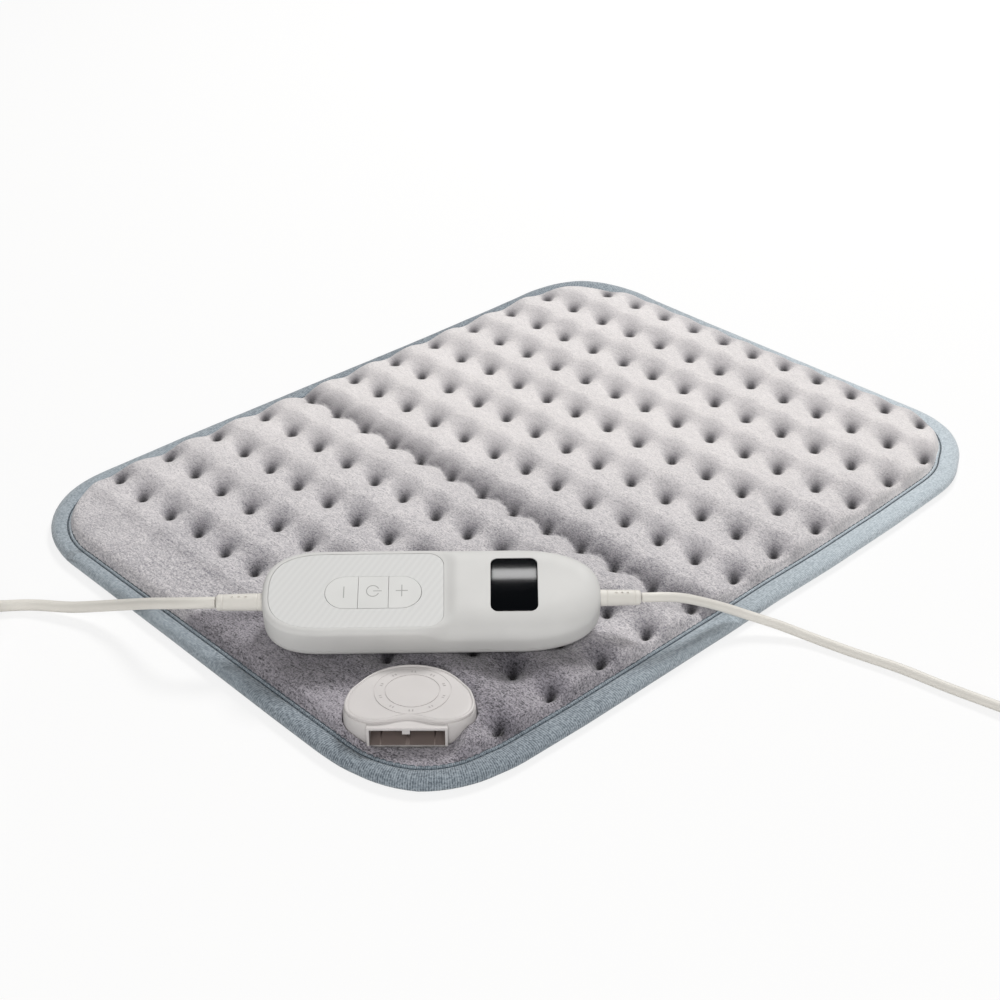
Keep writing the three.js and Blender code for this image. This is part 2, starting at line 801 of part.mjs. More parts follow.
// One contact blade of the socket, standing in its chamber and through the block's back wall
function socketContact({ x, contact }) {
  const y1 = blockFrontY + blockDepth + (contactLength - chamberDepth) / 2;
  const geometry = new THREE.BoxGeometry(contact, contactLength, contactThickness);
  geometry.translate(x, y1 - contactLength / 2, slotMiddleZ);
  return geometry;
}

// Thermal fuse, lying on the housing's floor behind the contact block
function thermalFuse() {
  const radius = fuseDiameter / 2;
  const half = fuseLength / 2;
  const profile = [[0, -half], [radius / 2, -half], [radius, -half + radius / 2],
    [radius, half - radius / 2], [radius / 2, half], [0, half]];
  const geometry = new THREE.LatheGeometry(profile.map(([r, h]) => new THREE.Vector2(r, h)), 12);
  geometry.rotateZ(-Math.PI / 2);
  geometry.translate(0, blockFrontY + blockDepth + wiringDepth - radius - gap, slotBottom + gap + radius);
  return geometry;
}

place(object, 'back_cover', backCover(), backMaterial);
place(object, 'heating_felt', heatingFelt(), feltMaterial);
place(object, 'heating_wire', heatingWire(), wireMaterial);
place(object, 'plush_cover', plushCover(), plushMaterial);
place(object, 'edge_binding', edgeBinding(), tapeMaterial);
place(socket, 'socket_housing', socketHousing(), housingMaterial);
place(socket, 'socket_base', socketBase(), housingMaterial);
place(socket, 'socket_contact_block', contactBlock(), blockMaterial);
chambers.forEach((chamber, k) => place(socket, `socket_contact_${k + 1}`, socketContact(chamber), metalMaterial));
place(socket, 'thermal_fuse', thermalFuse(), fuseMaterial);

// Controller
const controllerBase = new THREE.Group();
controllerBase.position.set(controllerX, controllerY, controllerZ);
controllerBase.rotation.z = yawAngle;
const controller = new THREE.Group();
controller.rotation.x = tiltAngle;
controllerBase.add(controller);
object.add(controllerBase);

// Plan of the controller: superellipse ends, a blunt one at -x and a longer one at +x.
// The points mirror in y: the first half runs along +y from +x to -x, and the rest runs back.
const endSteps = 9;
const sideStations = [0.78, 0.68, 0.6, 0.45, 0.2];
const bluntPower = 2.5;
const taperPower = 2.3;
function controllerPlan(inset) {
  const half = controllerWidth / 2 - inset;
  const taperX = controllerLength / 2 - taperEndLength;
  const bluntX = -controllerLength / 2 + squareEndLength;
  const taper = taperEndLength - inset;
  const blunt = squareEndLength - inset;
  const arc = (angle, start, reach, power) => {
    const c = Math.cos(angle);
    const s = Math.sin(angle);
    return [start + reach * Math.sign(c) * Math.abs(c) ** (2 / power), half * Math.abs(s) ** (2 / power)];
  };
  const upper = [];
  for (let step = 0; step < endSteps; step += 1) {
    upper.push(arc((Math.PI / 2) * ((step + 0.25) / (endSteps - 0.75)), taperX, taper, taperPower));
  }
  sideStations.forEach((share) => upper.push([bluntX + (taperX - bluntX) * share, half]));
  for (let step = 0; step < endSteps; step += 1) {
    upper.push(arc((Math.PI / 2) * (1 + step / (endSteps - 0.75)), bluntX, blunt, bluntPower));
  }
  return [...upper, ...[...upper].reverse().map(([x, y]) => [x, -y])];
}

function controllerRing(inset, level) {
  return controllerPlan(inset).map(([x, y]) => new THREE.Vector3(x, y, typeof level === 'function' ? level(x) : level));
}

// The face steps up from the button half to the display half
function domeRise(x) {
  return domeHeight * THREE.MathUtils.smoothstep(x, domeStart, domeStart + domeRun);
}

function controllerBody() {
  const rings = [];
  const bellySteps = 5;
  for (let step = 0; step <= bellySteps; step += 1) {
    const angle = (Math.PI / 2) * (step / bellySteps);
    rings.push(controllerRing(bellyInset * (1 - Math.sin(angle)), bellyDepth * (1 - Math.cos(angle))));
  }
  const h = controllerHeight;
  const edge = edgeRounding;
  rings.push(
    controllerRing(0, (x) => h - 2 * edge + domeRise(x) / 6),
    controllerRing(edge / 8, (x) => h - edge + domeRise(x) / 5),
    controllerRing(edge / 2, (x) => h - edge / 3 + domeRise(x) / 4),
    controllerRing(edge, (x) => h + domeRise(x) / 2.5),
    controllerRing(2 * edge, (x) => h + domeRise(x) / 1.4),
    controllerRing(4 * edge, (x) => h + domeRise(x)),
  );
  return toSolid(stackAcross(rings));
}

const ceilingHeight = controllerHeight - panelRecess - panelThickness - gap - ceilingWall;
function controllerCavity() {
  const wall = shellWall;
  return toSolid(stackAcross([
    controllerRing(bellyInset - wall, wall),
    controllerRing(bellyInset / 3 + wall, 2 * wall),
    controllerRing(2 * wall, bellyDepth),
    controllerRing(wall, splitHeight + wall),
    controllerRing(wall, ceilingHeight - wall),
    controllerRing(1.5 * wall, ceilingHeight),
  ]));
}

// Plan of the textured panel round the buttons, drawn in from the rim
function panelShape(inset) {
  const plan = controllerPlan(rimWidth + inset);
  const right = domeStart - inset;
  const half = controllerWidth / 2 - rimWidth - inset;
  const radius = panelCornerRadius - inset;
  const blunt = plan.slice(endSteps + sideStations.length, plan.length - endSteps - sideStations.length);
  const shape = new THREE.Shape();
  shape.moveTo(right - radius, half);
  blunt.forEach(([x, y]) => shape.lineTo(x, y));
  shape.lineTo(right - radius, -half);
  shape.absarc(right - radius, -half + radius, radius, -Math.PI / 2, 0, false);
  shape.absarc(right - radius, half - radius, radius, 0, Math.PI / 2, false);
  return shape;
}

// A stadium round the keypad, cut to the stretch between x0 and x1
function keypadSolid(inset, x0, x1, z0, z1) {
  const radius = keypadWidth / 2 - inset;
  const reach = keypadLength / 2 - keypadWidth / 2;
  const shape = new THREE.Shape();
  shape.absarc(keypadX - reach, keypadY, radius, Math.PI / 2, (3 * Math.PI) / 2, false);
  shape.absarc(keypadX + reach, keypadY, radius, -Math.PI / 2, Math.PI / 2, false);
  const whole = toSolid(prism(shape, z0, z1, 14));
  return whole.intersect(boxSolid(x0, x1, -keypadWidth, keypadWidth, z0 - overrun, z1 + overrun));
}

function roundedRectangle(x, y, length, width, radius) {
  const shape = new THREE.Shape();
  const hx = length / 2 - radius;
  const hy = width / 2 - radius;
  shape.absarc(x + hx, y + hy, radius, 0, Math.PI / 2, false);
  shape.absarc(x - hx, y + hy, radius, Math.PI / 2, Math.PI, false);
  shape.absarc(x - hx, y - hy, radius, Math.PI, 1.5 * Math.PI, false);
  shape.absarc(x + hx, y - hy, radius, 1.5 * Math.PI, 2 * Math.PI, false);
  return shape;
}

const farX = controllerLength;
const panelSeat = controllerHeight - panelRecess - panelThickness - gap;
const panelTop = controllerHeight - panelRecess;
const windowTop = controllerHeight + domeHeight - windowRecess;
const windowBottom = windowTop - windowThickness;
const windowSeat = windowBottom - gap;
const exitHeight = controllerHeight - reliefDrop;
const screwPlaces = [-1, 1].flatMap((sx) => [-1, 1].map((sy) => [sx * bossX, sy * bossY]));
const moduleLength = displayLength - 2 * windowLedge;
const moduleWidth = displayWidth - 2 * windowLedge;

// A cylinder along the controller's length, for the cord exits
function exitBore(radius, x0, x1) {
  const geometry = new THREE.CylinderGeometry(radius, radius, x1 - x0, 20);
  geometry.rotateZ(Math.PI / 2);
  geometry.translate((x0 + x1) / 2, 0, exitHeight);
  return toSolid(geometry);
}

const outerBody = controllerBody();
const cavity = controllerCavity();

// Top shell with the panel's recess, the keypad opening, the window's seat and the screw bosses
function topShell() {
  const half = controllerLength / 2;
  const above = boxSolid(-farX, farX, -farX, farX, splitHeight + gap / 2, farX);
  let shell = outerBody.intersect(above).subtract(cavity);
  const bosses = screwPlaces.map(([x, y]) => cylinderSolid(
    bossDiameter / 2, boardTop + gap, ceilingHeight + shellWall / 2, x, y,
  ));
  bosses.forEach((boss) => { shell = shell.add(boss); });
  screwPlaces.forEach(([x, y]) => {
    shell = shell.subtract(cylinderSolid(screwDiameter / 2 + gap, 0, headSeat + screwLength + gap, x, y, 12));
  });
  const panelCut = prism(panelShape(0), panelSeat, controllerHeight + domeHeight + overrun, 6);
  const windowCut = prism(
    roundedRectangle(displayX, displayY, displayLength + 2 * gap, displayWidth + 2 * gap, displayCornerRadius + gap),
    windowSeat, controllerHeight + domeHeight + overrun, 5,
  );
  const moduleCut = prism(
    roundedRectangle(displayX, displayY, moduleLength + 2 * gap, moduleWidth + 2 * gap, displayCornerRadius),
    0, controllerHeight + domeHeight, 3,
  );
  const keypadCut = keypadSolid(-gap, -farX, farX, splitHeight, controllerHeight + overrun);
  return toGeometry(shell
    .subtract(toSolid(panelCut))
    .subtract(toSolid(windowCut))
    .subtract(toSolid(moduleCut))
    .subtract(keypadCut)
    .subtract(exitBore(mainsReliefRoot / 2 + gap, -half - overrun, -half + squareEndLength / 2))
    .subtract(exitBore(leadReliefRoot / 2 + gap, half - taperEndLength / 3, half + overrun)));
}

// Bottom shell: a crowned tray with the screw pillars
function bottomShell() {
  const below = boxSolid(-farX, farX, -farX, farX, -farX, splitHeight - gap / 2);
  let shell = outerBody.intersect(below).subtract(cavity);
  screwPlaces.forEach(([x, y]) => {
    const pillar = cylinderSolid(bossDiameter / 2, 0, boardTop - boardThickness - gap, x, y);
    shell = shell.add(pillar.intersect(outerBody));
  });
  screwPlaces.forEach(([x, y]) => {
    shell = shell.subtract(cylinderSolid(screwHeadDiameter / 2 + gap, -overrun, headSeat, x, y));
    shell = shell.subtract(cylinderSolid(screwDiameter / 2 + gap, 0, farX, x, y, 12));
  });
  return toGeometry(shell);
}

function facePanel() {
  const panel = toSolid(prism(panelShape(gap), panelSeat + gap, panelTop, 6));
  return toGeometry(panel.subtract(keypadSolid(-gap, -farX, farX, panelSeat, controllerHeight)));
}

// Buttons: each a cut of the keypad, with a retaining flange under the shell and a stem
const keypadLeft = keypadX - keypadLength / 2;
const keypadRight = keypadX + keypadLength / 2;
const powerLeft = keypadX - powerButtonLength / 2;
const powerRight = keypadX + powerButtonLength / 2;
const buttons = [
  { name: 'minus', x0: keypadLeft, x1: powerLeft - gap },
  { name: 'power', x0: powerLeft, x1: powerRight },
  { name: 'plus', x0: powerRight + gap, x1: keypadRight },
];
const plungerTop = boardTop + gap + switchHeight + buttonTravel * 3;
const flangeTopZ = ceilingHeight - gap;

function buttonCap({ x0, x1 }) {
  const stemBottom = plungerTop + gap;
  const cap = keypadSolid(0, x0, x1, flangeTopZ - buttonFlange, panelTop + buttonProud);
  const flange = keypadSolid(-flangeReach, x0 === keypadLeft ? -farX : x0, x1 === keypadRight ? farX : x1,
    flangeTopZ - buttonFlange, flangeTopZ);
  const stem = cylinderSolid(stemDiameter / 2, stemBottom, flangeTopZ, (x0 + x1) / 2, keypadY, 12);
  return toGeometry(cap.add(flange).add(stem));
}

function switchBody({ x0, x1 }) {
  const x = (x0 + x1) / 2;
  const z0 = boardTop + gap;
  const z1 = z0 + switchHeight;
  const side = switchSide / 2;
  const body = boxSolid(x - side, x + side, keypadY - side, keypadY + side, z0, z1);
  const bore = cylinderSolid(
    plungerDiameter / 2 + gap, z1 - plungerSunk - buttonTravel - gap, z1 + overrun, x, keypadY, 16,
  );
  return toGeometry(body.subtract(bore));
}

function plunger({ x0, x1 }) {
  const z1 = boardTop + gap + switchHeight;
  return cylinderGeometry(plungerDiameter / 2, z1 - plungerSunk, plungerTop, (x0 + x1) / 2, keypadY, 16);
}

function displayWindow() {
  return prism(
    roundedRectangle(displayX, displayY, displayLength, displayWidth, displayCornerRadius),
    windowBottom, windowTop, 5,
  );
}

function displayModule() {
  return prism(
    roundedRectangle(displayX, displayY, moduleLength, moduleWidth, displayCornerRadius - gap),
    boardTop + gap, windowBottom - gap, 3,
  );
}

function circuitBoard() {
  const shape = roundedRectangle(-overrun, 0, boardLength, boardWidth, boardCornerRadius);
  let board = toSolid(prism(shape, boardTop - boardThickness, boardTop, 6));
  screwPlaces.forEach(([x, y]) => {
    board = board.subtract(cylinderSolid(screwDiameter / 2 + gap, 0, farX, x, y, 12));
  });
  return toGeometry(board);
}

function screw([x, y]) {
  const head = screwHeadDiameter / 2;
  const shank = screwDiameter / 2;
  const top = headSeat - gap;
  const profile = [[0, top - screwHeadHeight], [head, top - screwHeadHeight], [head, top], [shank, top],
    [shank, top + screwLength - shank], [shank / 2, top + screwLength], [0, top + screwLength]];
  const geometry = new THREE.LatheGeometry(profile.map(([r, h]) => new THREE.Vector2(r, h)), 12);
  geometry.rotateX(Math.PI / 2);
  geometry.translate(x, y, 0);
  return geometry;
}

// Strain relief: a tapered sleeve with a neck through the shell and a collar inside it
function strainRelief(rootDiameter, endDiameter, length, outwardSign) {
  const half = controllerLength / 2;
  const root = rootDiameter / 2;
  const end = endDiameter / 2;
  const collar = root + 1.5 * gap;
  const collarStart = -(shellWall + 4 * gap);
  const profile = [[0, collarStart - reliefCollar], [collar, collarStart - reliefCollar], [collar, collarStart],
    [root, collarStart], [root, 0], [end, length - end / 4], [end * 0.8, length], [0, length]];
  const geometry = new THREE.LatheGeometry(profile.map(([r, h]) => new THREE.Vector2(r, h)), 16);
  geometry.rotateZ(outwardSign > 0 ? -Math.PI / 2 : Math.PI / 2);
  geometry.translate(outwardSign * half, 0, exitHeight);
  return geometry;
}

place(controller, 'controller_bottom_shell', bottomShell(), shellMaterial);
place(controller, 'controller_top_shell', topShell(), shellMaterial);
place(controller, 'face_panel', facePanel(), panelMaterial);
buttons.forEach((button) => {
  place(controller, `${button.name}_button`, buttonCap(button), panelMaterial);
  place(controller, `${button.name}_switch`, switchBody(button), switchMaterial);
  place(controller, `${button.name}_plunger`, plunger(button), switchMaterial);
});
place(controller, 'display_window', displayWindow(), windowMaterial);
place(controller, 'display_module', displayModule(), displayMaterial);
place(controller, 'circuit_board', circuitBoard(), boardMaterial);
screwPlaces.forEach((spot, k) => place(controller, `case_screw_${k + 1}`, screw(spot), steelMaterial));
place(controller, 'mains_strain_relief', strainRelief(mainsReliefRoot, mainsReliefEnd, mainsReliefLength, -1), cordMaterial);
place(controller, 'lead_strain_relief', strainRelief(leadReliefRoot, leadReliefEnd, leadReliefLength, 1), cordMaterial);

// Where each cord leaves its strain relief, and its direction there
function exitPoint(along) {
  const point = new THREE.Vector3(along, 0, exitHeight);
  point.applyAxisAngle(new THREE.Vector3(1, 0, 0), tiltAngle);
  point.applyAxisAngle(new THREE.Vector3(0, 0, 1), yawAngle);
  return point.add(new THREE.Vector3(controllerX, controllerY, controllerZ));
}

// A coil of piled loops: the loops spiral in and out again at a steady rate, and climb a layer in
// the half turn round each reversal. It starts and ends on its outermost loop, and each end runs
// straight for one diameter.
function coilPoints({ x, y, startAngle, turns, layers, meanRadius, diameter, base }) {
  const pitch = diameter + coilClearance;
  const layerTurns = turns / layers;
  const innerRadius = meanRadius - (layerTurns * pitch) / 2;
  const stepsPerTurn = 24;
  const steps = Math.round(turns * stepsPerTurn);
  const points = [];
  for (let step = 0; step <= steps; step += 1) {
    const turn = (step / steps) * turns;
    const phase = turn / layerTurns;
    const layer = Math.floor(Math.min(phase, layers - 1e-9));
    const within = phase - layer;
    const radius = innerRadius + pitch * layerTurns * (layer % 2 === 0 ? 1 - within : within);
    let rise = 0;
    for (let climb = 1; climb < layers; climb += 1) {
      rise += THREE.MathUtils.smoothstep(turn, climb * layerTurns - 0.25, climb * layerTurns + 0.25);
    }
    const angle = startAngle + turn * 2 * Math.PI;
    points.push(new THREE.Vector3(x + radius * Math.cos(angle), y + radius * Math.sin(angle), base + rise * pitch));
  }
  const startAlong = new THREE.Vector3(Math.sin(startAngle), -Math.cos(startAngle), 0);
  const endAngle = startAngle + turns * 2 * Math.PI;
  const endAlong = new THREE.Vector3(-Math.sin(endAngle), Math.cos(endAngle), 0);
  points.unshift(points[0].clone().addScaledVector(startAlong, diameter));
  points.push(points[points.length - 1].clone().addScaledVector(endAlong, diameter));
  return points;
}

// Least clear distance between parts of a coil that are half a loop or more apart
function leastSelfGap(points, diameter) {
  let least = Infinity;
  for (let i = 0; i < points.length; i += 1) {
    for (let j = i + 12; j < points.length; j += 1) least = Math.min(least, points[i].distanceTo(points[j]));
  }
  return least - diameter;
}

// A tie: a flat band round the coil's loops at one place
function coilTie(coil, tieAngle) {
  const pitch = coil.diameter + coilClearance;
  const spread = (coil.turns / coil.layers) * pitch;
  const inner = coil.meanRadius - spread / 2 - coil.diameter / 2 - 3 * gap;
  const outer = coil.meanRadius + spread / 2 + coil.diameter / 2 + 2 * gap;
  const bottom = coil.base - coil.diameter / 2 - gap;
  const top = coil.base + (coil.layers - 1) * pitch + coil.diameter / 2 + gap;
  const t = tieThickness;
  const middleR = (inner + outer) / 2;
  const middleZ = (bottom + top) / 2;
  const band = roundedRectangle(middleR, middleZ, outer - inner + 2 * t, top - bottom + 2 * t, tieCornerRadius);
  band.holes.push(roundedRectangle(middleR, middleZ, outer - inner, top - bottom, tieCornerRadius - t));
  const geometry = new THREE.ExtrudeGeometry(band, { depth: tieWidth, bevelEnabled: false, curveSegments: 3 });
  geometry.translate(0, 0, -tieWidth / 2);
  geometry.rotateX(Math.PI / 2);
  geometry.rotateZ(tieAngle);
  geometry.translate(coil.x, coil.y, 0);
  return geometry;
}

const degrees = THREE.MathUtils.degToRad;

// The two coils on the floor, placed from the controller
const mainsCoilX = -172;
const mainsCoilY = 145.7;
const leadCoilX = 166.2;
const leadCoilY = -211.8;
const mainsCoil = {
  x: controllerX + mainsCoilX,
  y: controllerY + mainsCoilY,
  startAngle: degrees(52.4),
  turns: 8.354,
  layers: 4,
  meanRadius: 30,
  diameter: mainsDiameter,
  base: tieThickness + gap + mainsDiameter / 2,
};
const leadCoil = {
  x: controllerX + leadCoilX,
  y: controllerY + leadCoilY,
  startAngle: degrees(189.3),
  turns: 4.349,
  layers: 2,
  meanRadius: 23.1,
  diameter: leadDiameter,
  base: tieThickness + gap + leadDiameter / 2,
};

// Routes of the two cords from their strain reliefs, over the pad's edge and along the floor.
// Each point is [x, y] from the controller's place and its height.
const mainsRoute = [
  [-74.8, 65.2, 26.1], [-78.2, 71.4, 24.5], [-80.7, 79.3, 21.6], [-82.7, 88.1, 18],
  [-85.1, 97.4, 14], [-88.7, 107.2, 10.2], [-93.2, 116.6, 7], [-99.2, 126, 4.7],
  [-110.5, 142.6, 3], [-121.5, 151.5, 3.2], [-133.5, 161, 3.6],
];
const leadRoute = [
  [68.4, -67.1, 26], [73.6, -69.9, 24.7], [79.4, -72.4, 22.3], [85.1, -74.4, 19.2],
  [90.6, -76.2, 16], [95.7, -78.3, 13], [100.5, -81.8, 10.3], [104.6, -85.8, 8.1],
  [112.2, -97.5, 4.9], [117.3, -109.8, 2.8], [121.7, -127.5, 2.3], [127.1, -148.9, 2.3],
  [130.6, -170.9, 2.4], [134.4, -192.5, 2.9],
];

function stretch(exits, route, coilStart) {
  const placed = route.map(([x, y, z]) => new THREE.Vector3(controllerX + x, controllerY + y, z));
  return [...exits, ...placed, coilStart];
}

const tailShares = [0, 0.12, 0.35, 0.5, 0.65, 0.88, 1];

// The tail from a coil's end down to the cord end of the plug or connector
function tailPoints(points, length, endZ) {
  const end = points[points.length - 1];
  const along = end.clone().sub(points[points.length - 2]).normalize();
  const start = end.clone().addScaledVector(along, gap);
  const drop = endZ - end.z;
  return tailShares.map((share) => {
    const point = start.clone().addScaledVector(along, length * share);
    point.z = start.z + drop * THREE.MathUtils.smoothstep(share, tailShares[1], tailShares[5]);
    return point;
  });
}

// Places a group at the end of a tail, its x axis along the cord
function endGroup(tail) {
  const end = tail[tail.length - 1];
  const along = end.clone().sub(tail[0]).setZ(0).normalize();
  const group = new THREE.Group();
  group.position.copy(end).addScaledVector(along, gap);
  group.rotation.z = Math.atan2(along.y, along.x);
  object.add(group);
  return group;
}

// A ring across the x axis: a superellipse of half width b and half height c
function crossRing(x, b, c, power, sides) {
  return Array.from({ length: sides }, (_, k) => {
    const angle = (2 * Math.PI * (k + 0.5)) / sides;
    const cos = Math.cos(angle);
    const sin = Math.sin(angle);
    return new THREE.Vector3(
      x,
      b * Math.sign(cos) * Math.abs(cos) ** (2 / power),
      c * Math.sign(sin) * Math.abs(sin) ** (2 / power),
    );
  });
}

// Moulded body swept through rings given as shares of its length, half width and half height
function mouldedBody(length, halfWidth, halfHeight, cordRadius, profileShares, sides) {
  return toSolid(stack(profileShares.map(([along, wide, high, power]) => crossRing(
    length * along,
    THREE.MathUtils.lerp(cordRadius, halfWidth, wide),
    THREE.MathUtils.lerp(cordRadius, halfHeight, high),
    power,
    sides,
  ))));
}

const plugProfileShares = [
  [0, 0.03, 0.15, 2], [0.26, 0.08, 0.4, 2], [0.32, 0.16, 0.55, 2.2], [0.42, 0.45, 0.8, 2.6],
  [0.52, 0.66, 0.95, 3], [0.64, 0.62, 0.94, 3.2], [0.8, 0.92, 1, 4], [0.97, 1, 1, 4.5], [1, 0.95, 0.9, 4.5],
];
const connectorProfileShares = [
  [0, 0.05, 0.2, 2], [0.34, 0.1, 0.5, 2], [0.4, 0.22, 0.65, 2.2], [0.5, 0.62, 0.86, 2.6],
  [0.62, 0.9, 0.97, 3.2], [0.78, 1, 1, 4], [0.96, 1, 1, 4], [1, 0.95, 0.92, 4],
];

function plugBody() {
  let body = mouldedBody(plugLength, plugHalfWidth, plugHalfHeight, mainsDiameter / 2, plugProfileShares, 24);
  [-1, 1].forEach((side) => {
    const bore = new THREE.CylinderGeometry(pinDiameter / 2 + gap, pinDiameter / 2 + gap, 2 * pinSeatDepth, 16);
    bore.rotateZ(Math.PI / 2);
    bore.translate(plugLength, (side * pinSpacing) / 2, 0);
    body = body.subtract(toSolid(bore));
  });
  return toGeometry(body);
}

function plugPin(side) {
  const radius = pinDiameter / 2;
  const root = plugLength - pinSeatDepth + gap;
  const tip = plugLength + pinLength;
  const profile = [[0, root], [radius, root], [radius, tip - radius], [radius * 0.87, tip - radius / 2],
    [radius / 2, tip - radius * 0.13], [0, tip]];
  const geometry = new THREE.LatheGeometry(profile.map(([r, h]) => new THREE.Vector2(r, h)), 12);
  geometry.rotateZ(-Math.PI / 2);
  geometry.translate(0, (side * pinSpacing) / 2, 0);
  return geometry;
}

// Connector: a grip and a flat nose that fits the socket's slot, grooved for its key
const noseHalfWidth = slotWidth / 2 - noseClearance;
const noseHalfHeight = slotHeight / 2 - noseClearance;
const bladeLift = contactThickness + gap;
function connectorBody() {
  const grip = mouldedBody(
    connectorLength, connectorHalfWidth, connectorHalfHeight, leadDiameter / 2, connectorProfileShares, 24,
  );
  const tip = connectorLength + noseLength;
  const nose = boxSolid(connectorLength - overrun, tip, -noseHalfWidth, noseHalfWidth, -noseHalfHeight, noseHalfHeight);
  let body = grip.add(nose).subtract(boxSolid(
    tip - keyDepth - noseClearance, tip + overrun,
    -keyWidth / 2 - noseClearance, keyWidth / 2 + noseClearance,
    noseHalfHeight - keyHeight, noseHalfHeight + overrun,
  ));
  chambers.forEach(({ x, contact }) => {
    body = body.subtract(boxSolid(
      tip - bladeSeat, tip + overrun,
      x - contact / 2 - gap, x + contact / 2 + gap,
      -bladeLift - contactThickness / 2 - gap, -bladeLift + contactThickness / 2 + gap,
    ));
  });
  return toGeometry(body);
}

function connectorBlade({ x, contact }) {
  const tip = connectorLength + noseLength;
  const root = tip - bladeSeat + gap;
  const geometry = new THREE.BoxGeometry(bladeReach + tip - root, contact, contactThickness);
  geometry.translate((root + tip + bladeReach) / 2, x, -bladeLift);
  return geometry;
}

function buildCord(name, coil, coilNode, exitAlong, route, tailLength, endZ, tieAngle, sides) {
  const coiled = coilPoints(coil);
  const exits = [exitPoint(exitAlong), exitPoint(exitAlong + Math.sign(exitAlong) * coil.diameter)];
  const before = coiled[0].clone().addScaledVector(coiled[0].clone().sub(coiled[1]).normalize(), gap);
  const run = cordAlong(stretch(exits, route, before), coil.diameter, sides);
  const tail = tailPoints(coiled, tailLength, endZ);
  const tailRun = cordAlong(tail, coil.diameter, sides);
  place(object, name, run.geometry, cordMaterial);
  place(object, coilNode, tube(coiled, coil.diameter / 2, 6), cordMaterial);
  place(object, `${name}_tail`, tailRun.geometry, cordMaterial);
  place(object, `${name}_tie`, coilTie(coil, tieAngle), tieMaterial);
  const coilCurve = new THREE.CatmullRomCurve3(coiled);
  const total = run.curve.getLength() + coilCurve.getLength() + tailRun.curve.getLength();
  console.log(`${name}: ${total.toFixed(0)} mm long, least gap in its coil ${leastSelfGap(coiled, coil.diameter).toFixed(2)} mm`);
  return tail;
}

const halfController = controllerLength / 2;
const mainsTail = buildCord(
  'mains_cord', mainsCoil, 'mains_coil', -(halfController + mainsReliefLength + gap), mainsRoute,
  mainsTailLength, plugHalfHeight, degrees(260), 10,
);
const plug = endGroup(mainsTail);
place(plug, 'plug_body', plugBody(), cordMaterial);
place(plug, 'plug_pin_1', plugPin(-1), steelMaterial);
place(plug, 'plug_pin_2', plugPin(1), steelMaterial);

const leadTail = buildCord(
  'pad_lead', leadCoil, 'pad_lead_coil', halfController + leadReliefLength + gap, leadRoute,
  leadTailLength, connectorHalfHeight, degrees(60), 10,
);
const connector = endGroup(leadTail);
place(connector, 'connector_body', connectorBody(), housingMaterial);
chambers.forEach((chamber, k) => place(connector, `connector_contact_${k + 1}`, connectorBlade(chamber), metalMaterial));

export default object;
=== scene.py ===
from math import atan2, ceil, copysign, cos, dist, exp, floor, hypot, pi, radians, sin, sqrt, tan

import bmesh
import bpy
import numpy as np
from mathutils import Matrix, Vector, noise
from mathutils.bvhtree import BVHTree


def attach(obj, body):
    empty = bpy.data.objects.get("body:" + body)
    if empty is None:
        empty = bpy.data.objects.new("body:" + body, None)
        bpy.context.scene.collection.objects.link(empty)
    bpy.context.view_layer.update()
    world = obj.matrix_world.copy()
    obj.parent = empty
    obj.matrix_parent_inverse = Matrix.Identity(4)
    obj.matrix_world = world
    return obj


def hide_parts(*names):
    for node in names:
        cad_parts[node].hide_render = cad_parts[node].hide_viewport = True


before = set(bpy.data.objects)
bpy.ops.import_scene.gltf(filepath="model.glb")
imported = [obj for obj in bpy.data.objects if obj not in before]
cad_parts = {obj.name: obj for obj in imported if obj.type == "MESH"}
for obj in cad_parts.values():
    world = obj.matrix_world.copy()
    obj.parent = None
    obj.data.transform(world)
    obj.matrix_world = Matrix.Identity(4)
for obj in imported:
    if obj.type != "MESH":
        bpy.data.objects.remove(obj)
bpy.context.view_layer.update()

MM = 0.001
ROOT = "pad_and_controller"

# The photograph's camera. Lengths are in millimetres here, apart from the studio's at the end.
FOCAL_PIXELS, SENSOR, IMAGE = 1680.86, 36.0, 1000
CAMERA_AT = (-499.59, -496.19, 435.39)
CAMERA_ROWS = (
    (0.7167988, -0.6972775, 0.0018691),
    (0.3699425, 0.3825690, 0.8466307),
    (-0.5910516, -0.6061725, 0.5321776),
)
# The same view's directions in the plan
RIGHTWARDS = (0.717, -0.697)
AWAY = (0.70, 0.71)


def placed(name, data, matrix=None):
    obj = bpy.data.objects.new(name, data)
    if matrix is not None:
        obj.matrix_world = matrix
    bpy.context.collection.objects.link(obj)
    return obj


def make_camera():
    data = bpy.data.cameras.new("camera")
    data.sensor_width = SENSOR
    data.lens = FOCAL_PIXELS * SENSOR / IMAGE
    data.clip_end = 10
    turn = Matrix(CAMERA_ROWS).transposed().to_4x4()
    bpy.context.scene.camera = placed("camera", data, Matrix.Translation(Vector(CAMERA_AT) * MM) @ turn)


make_camera()


# Node materials
def node(mat, kind, inputs=(), **settings):
    """A new shader node: an input given as a socket is linked, and any other is set."""
    made = mat.node_tree.nodes.new("ShaderNode" + kind)
    for key, value in settings.items():
        setattr(made, key, value)
    for key, value in dict(inputs).items():
        if isinstance(value, bpy.types.NodeSocket):
            link(mat, value, made.inputs[key])
        else:
            made.inputs[key].default_value = value
    return made


def link(mat, a, b):
    mat.node_tree.links.new(a, b)


def principled(name, colour, rough, metallic=0.0, sheen=0.0, specular=0.5):
    mat = bpy.data.materials.new(name)
    mat.use_nodes = True
    shader = mat.node_tree.nodes["Principled BSDF"]
    for key, value in {
        "Base Color": (*colour, 1), "Roughness": rough, "Metallic": metallic, "Sheen Weight": sheen,
        "Specular IOR Level": specular,
    }.items():
        shader.inputs[key].default_value = value
    return mat, shader


def calc(mat, operation, *values):
    return node(mat, "Math", enumerate(values), operation=operation).outputs[0]


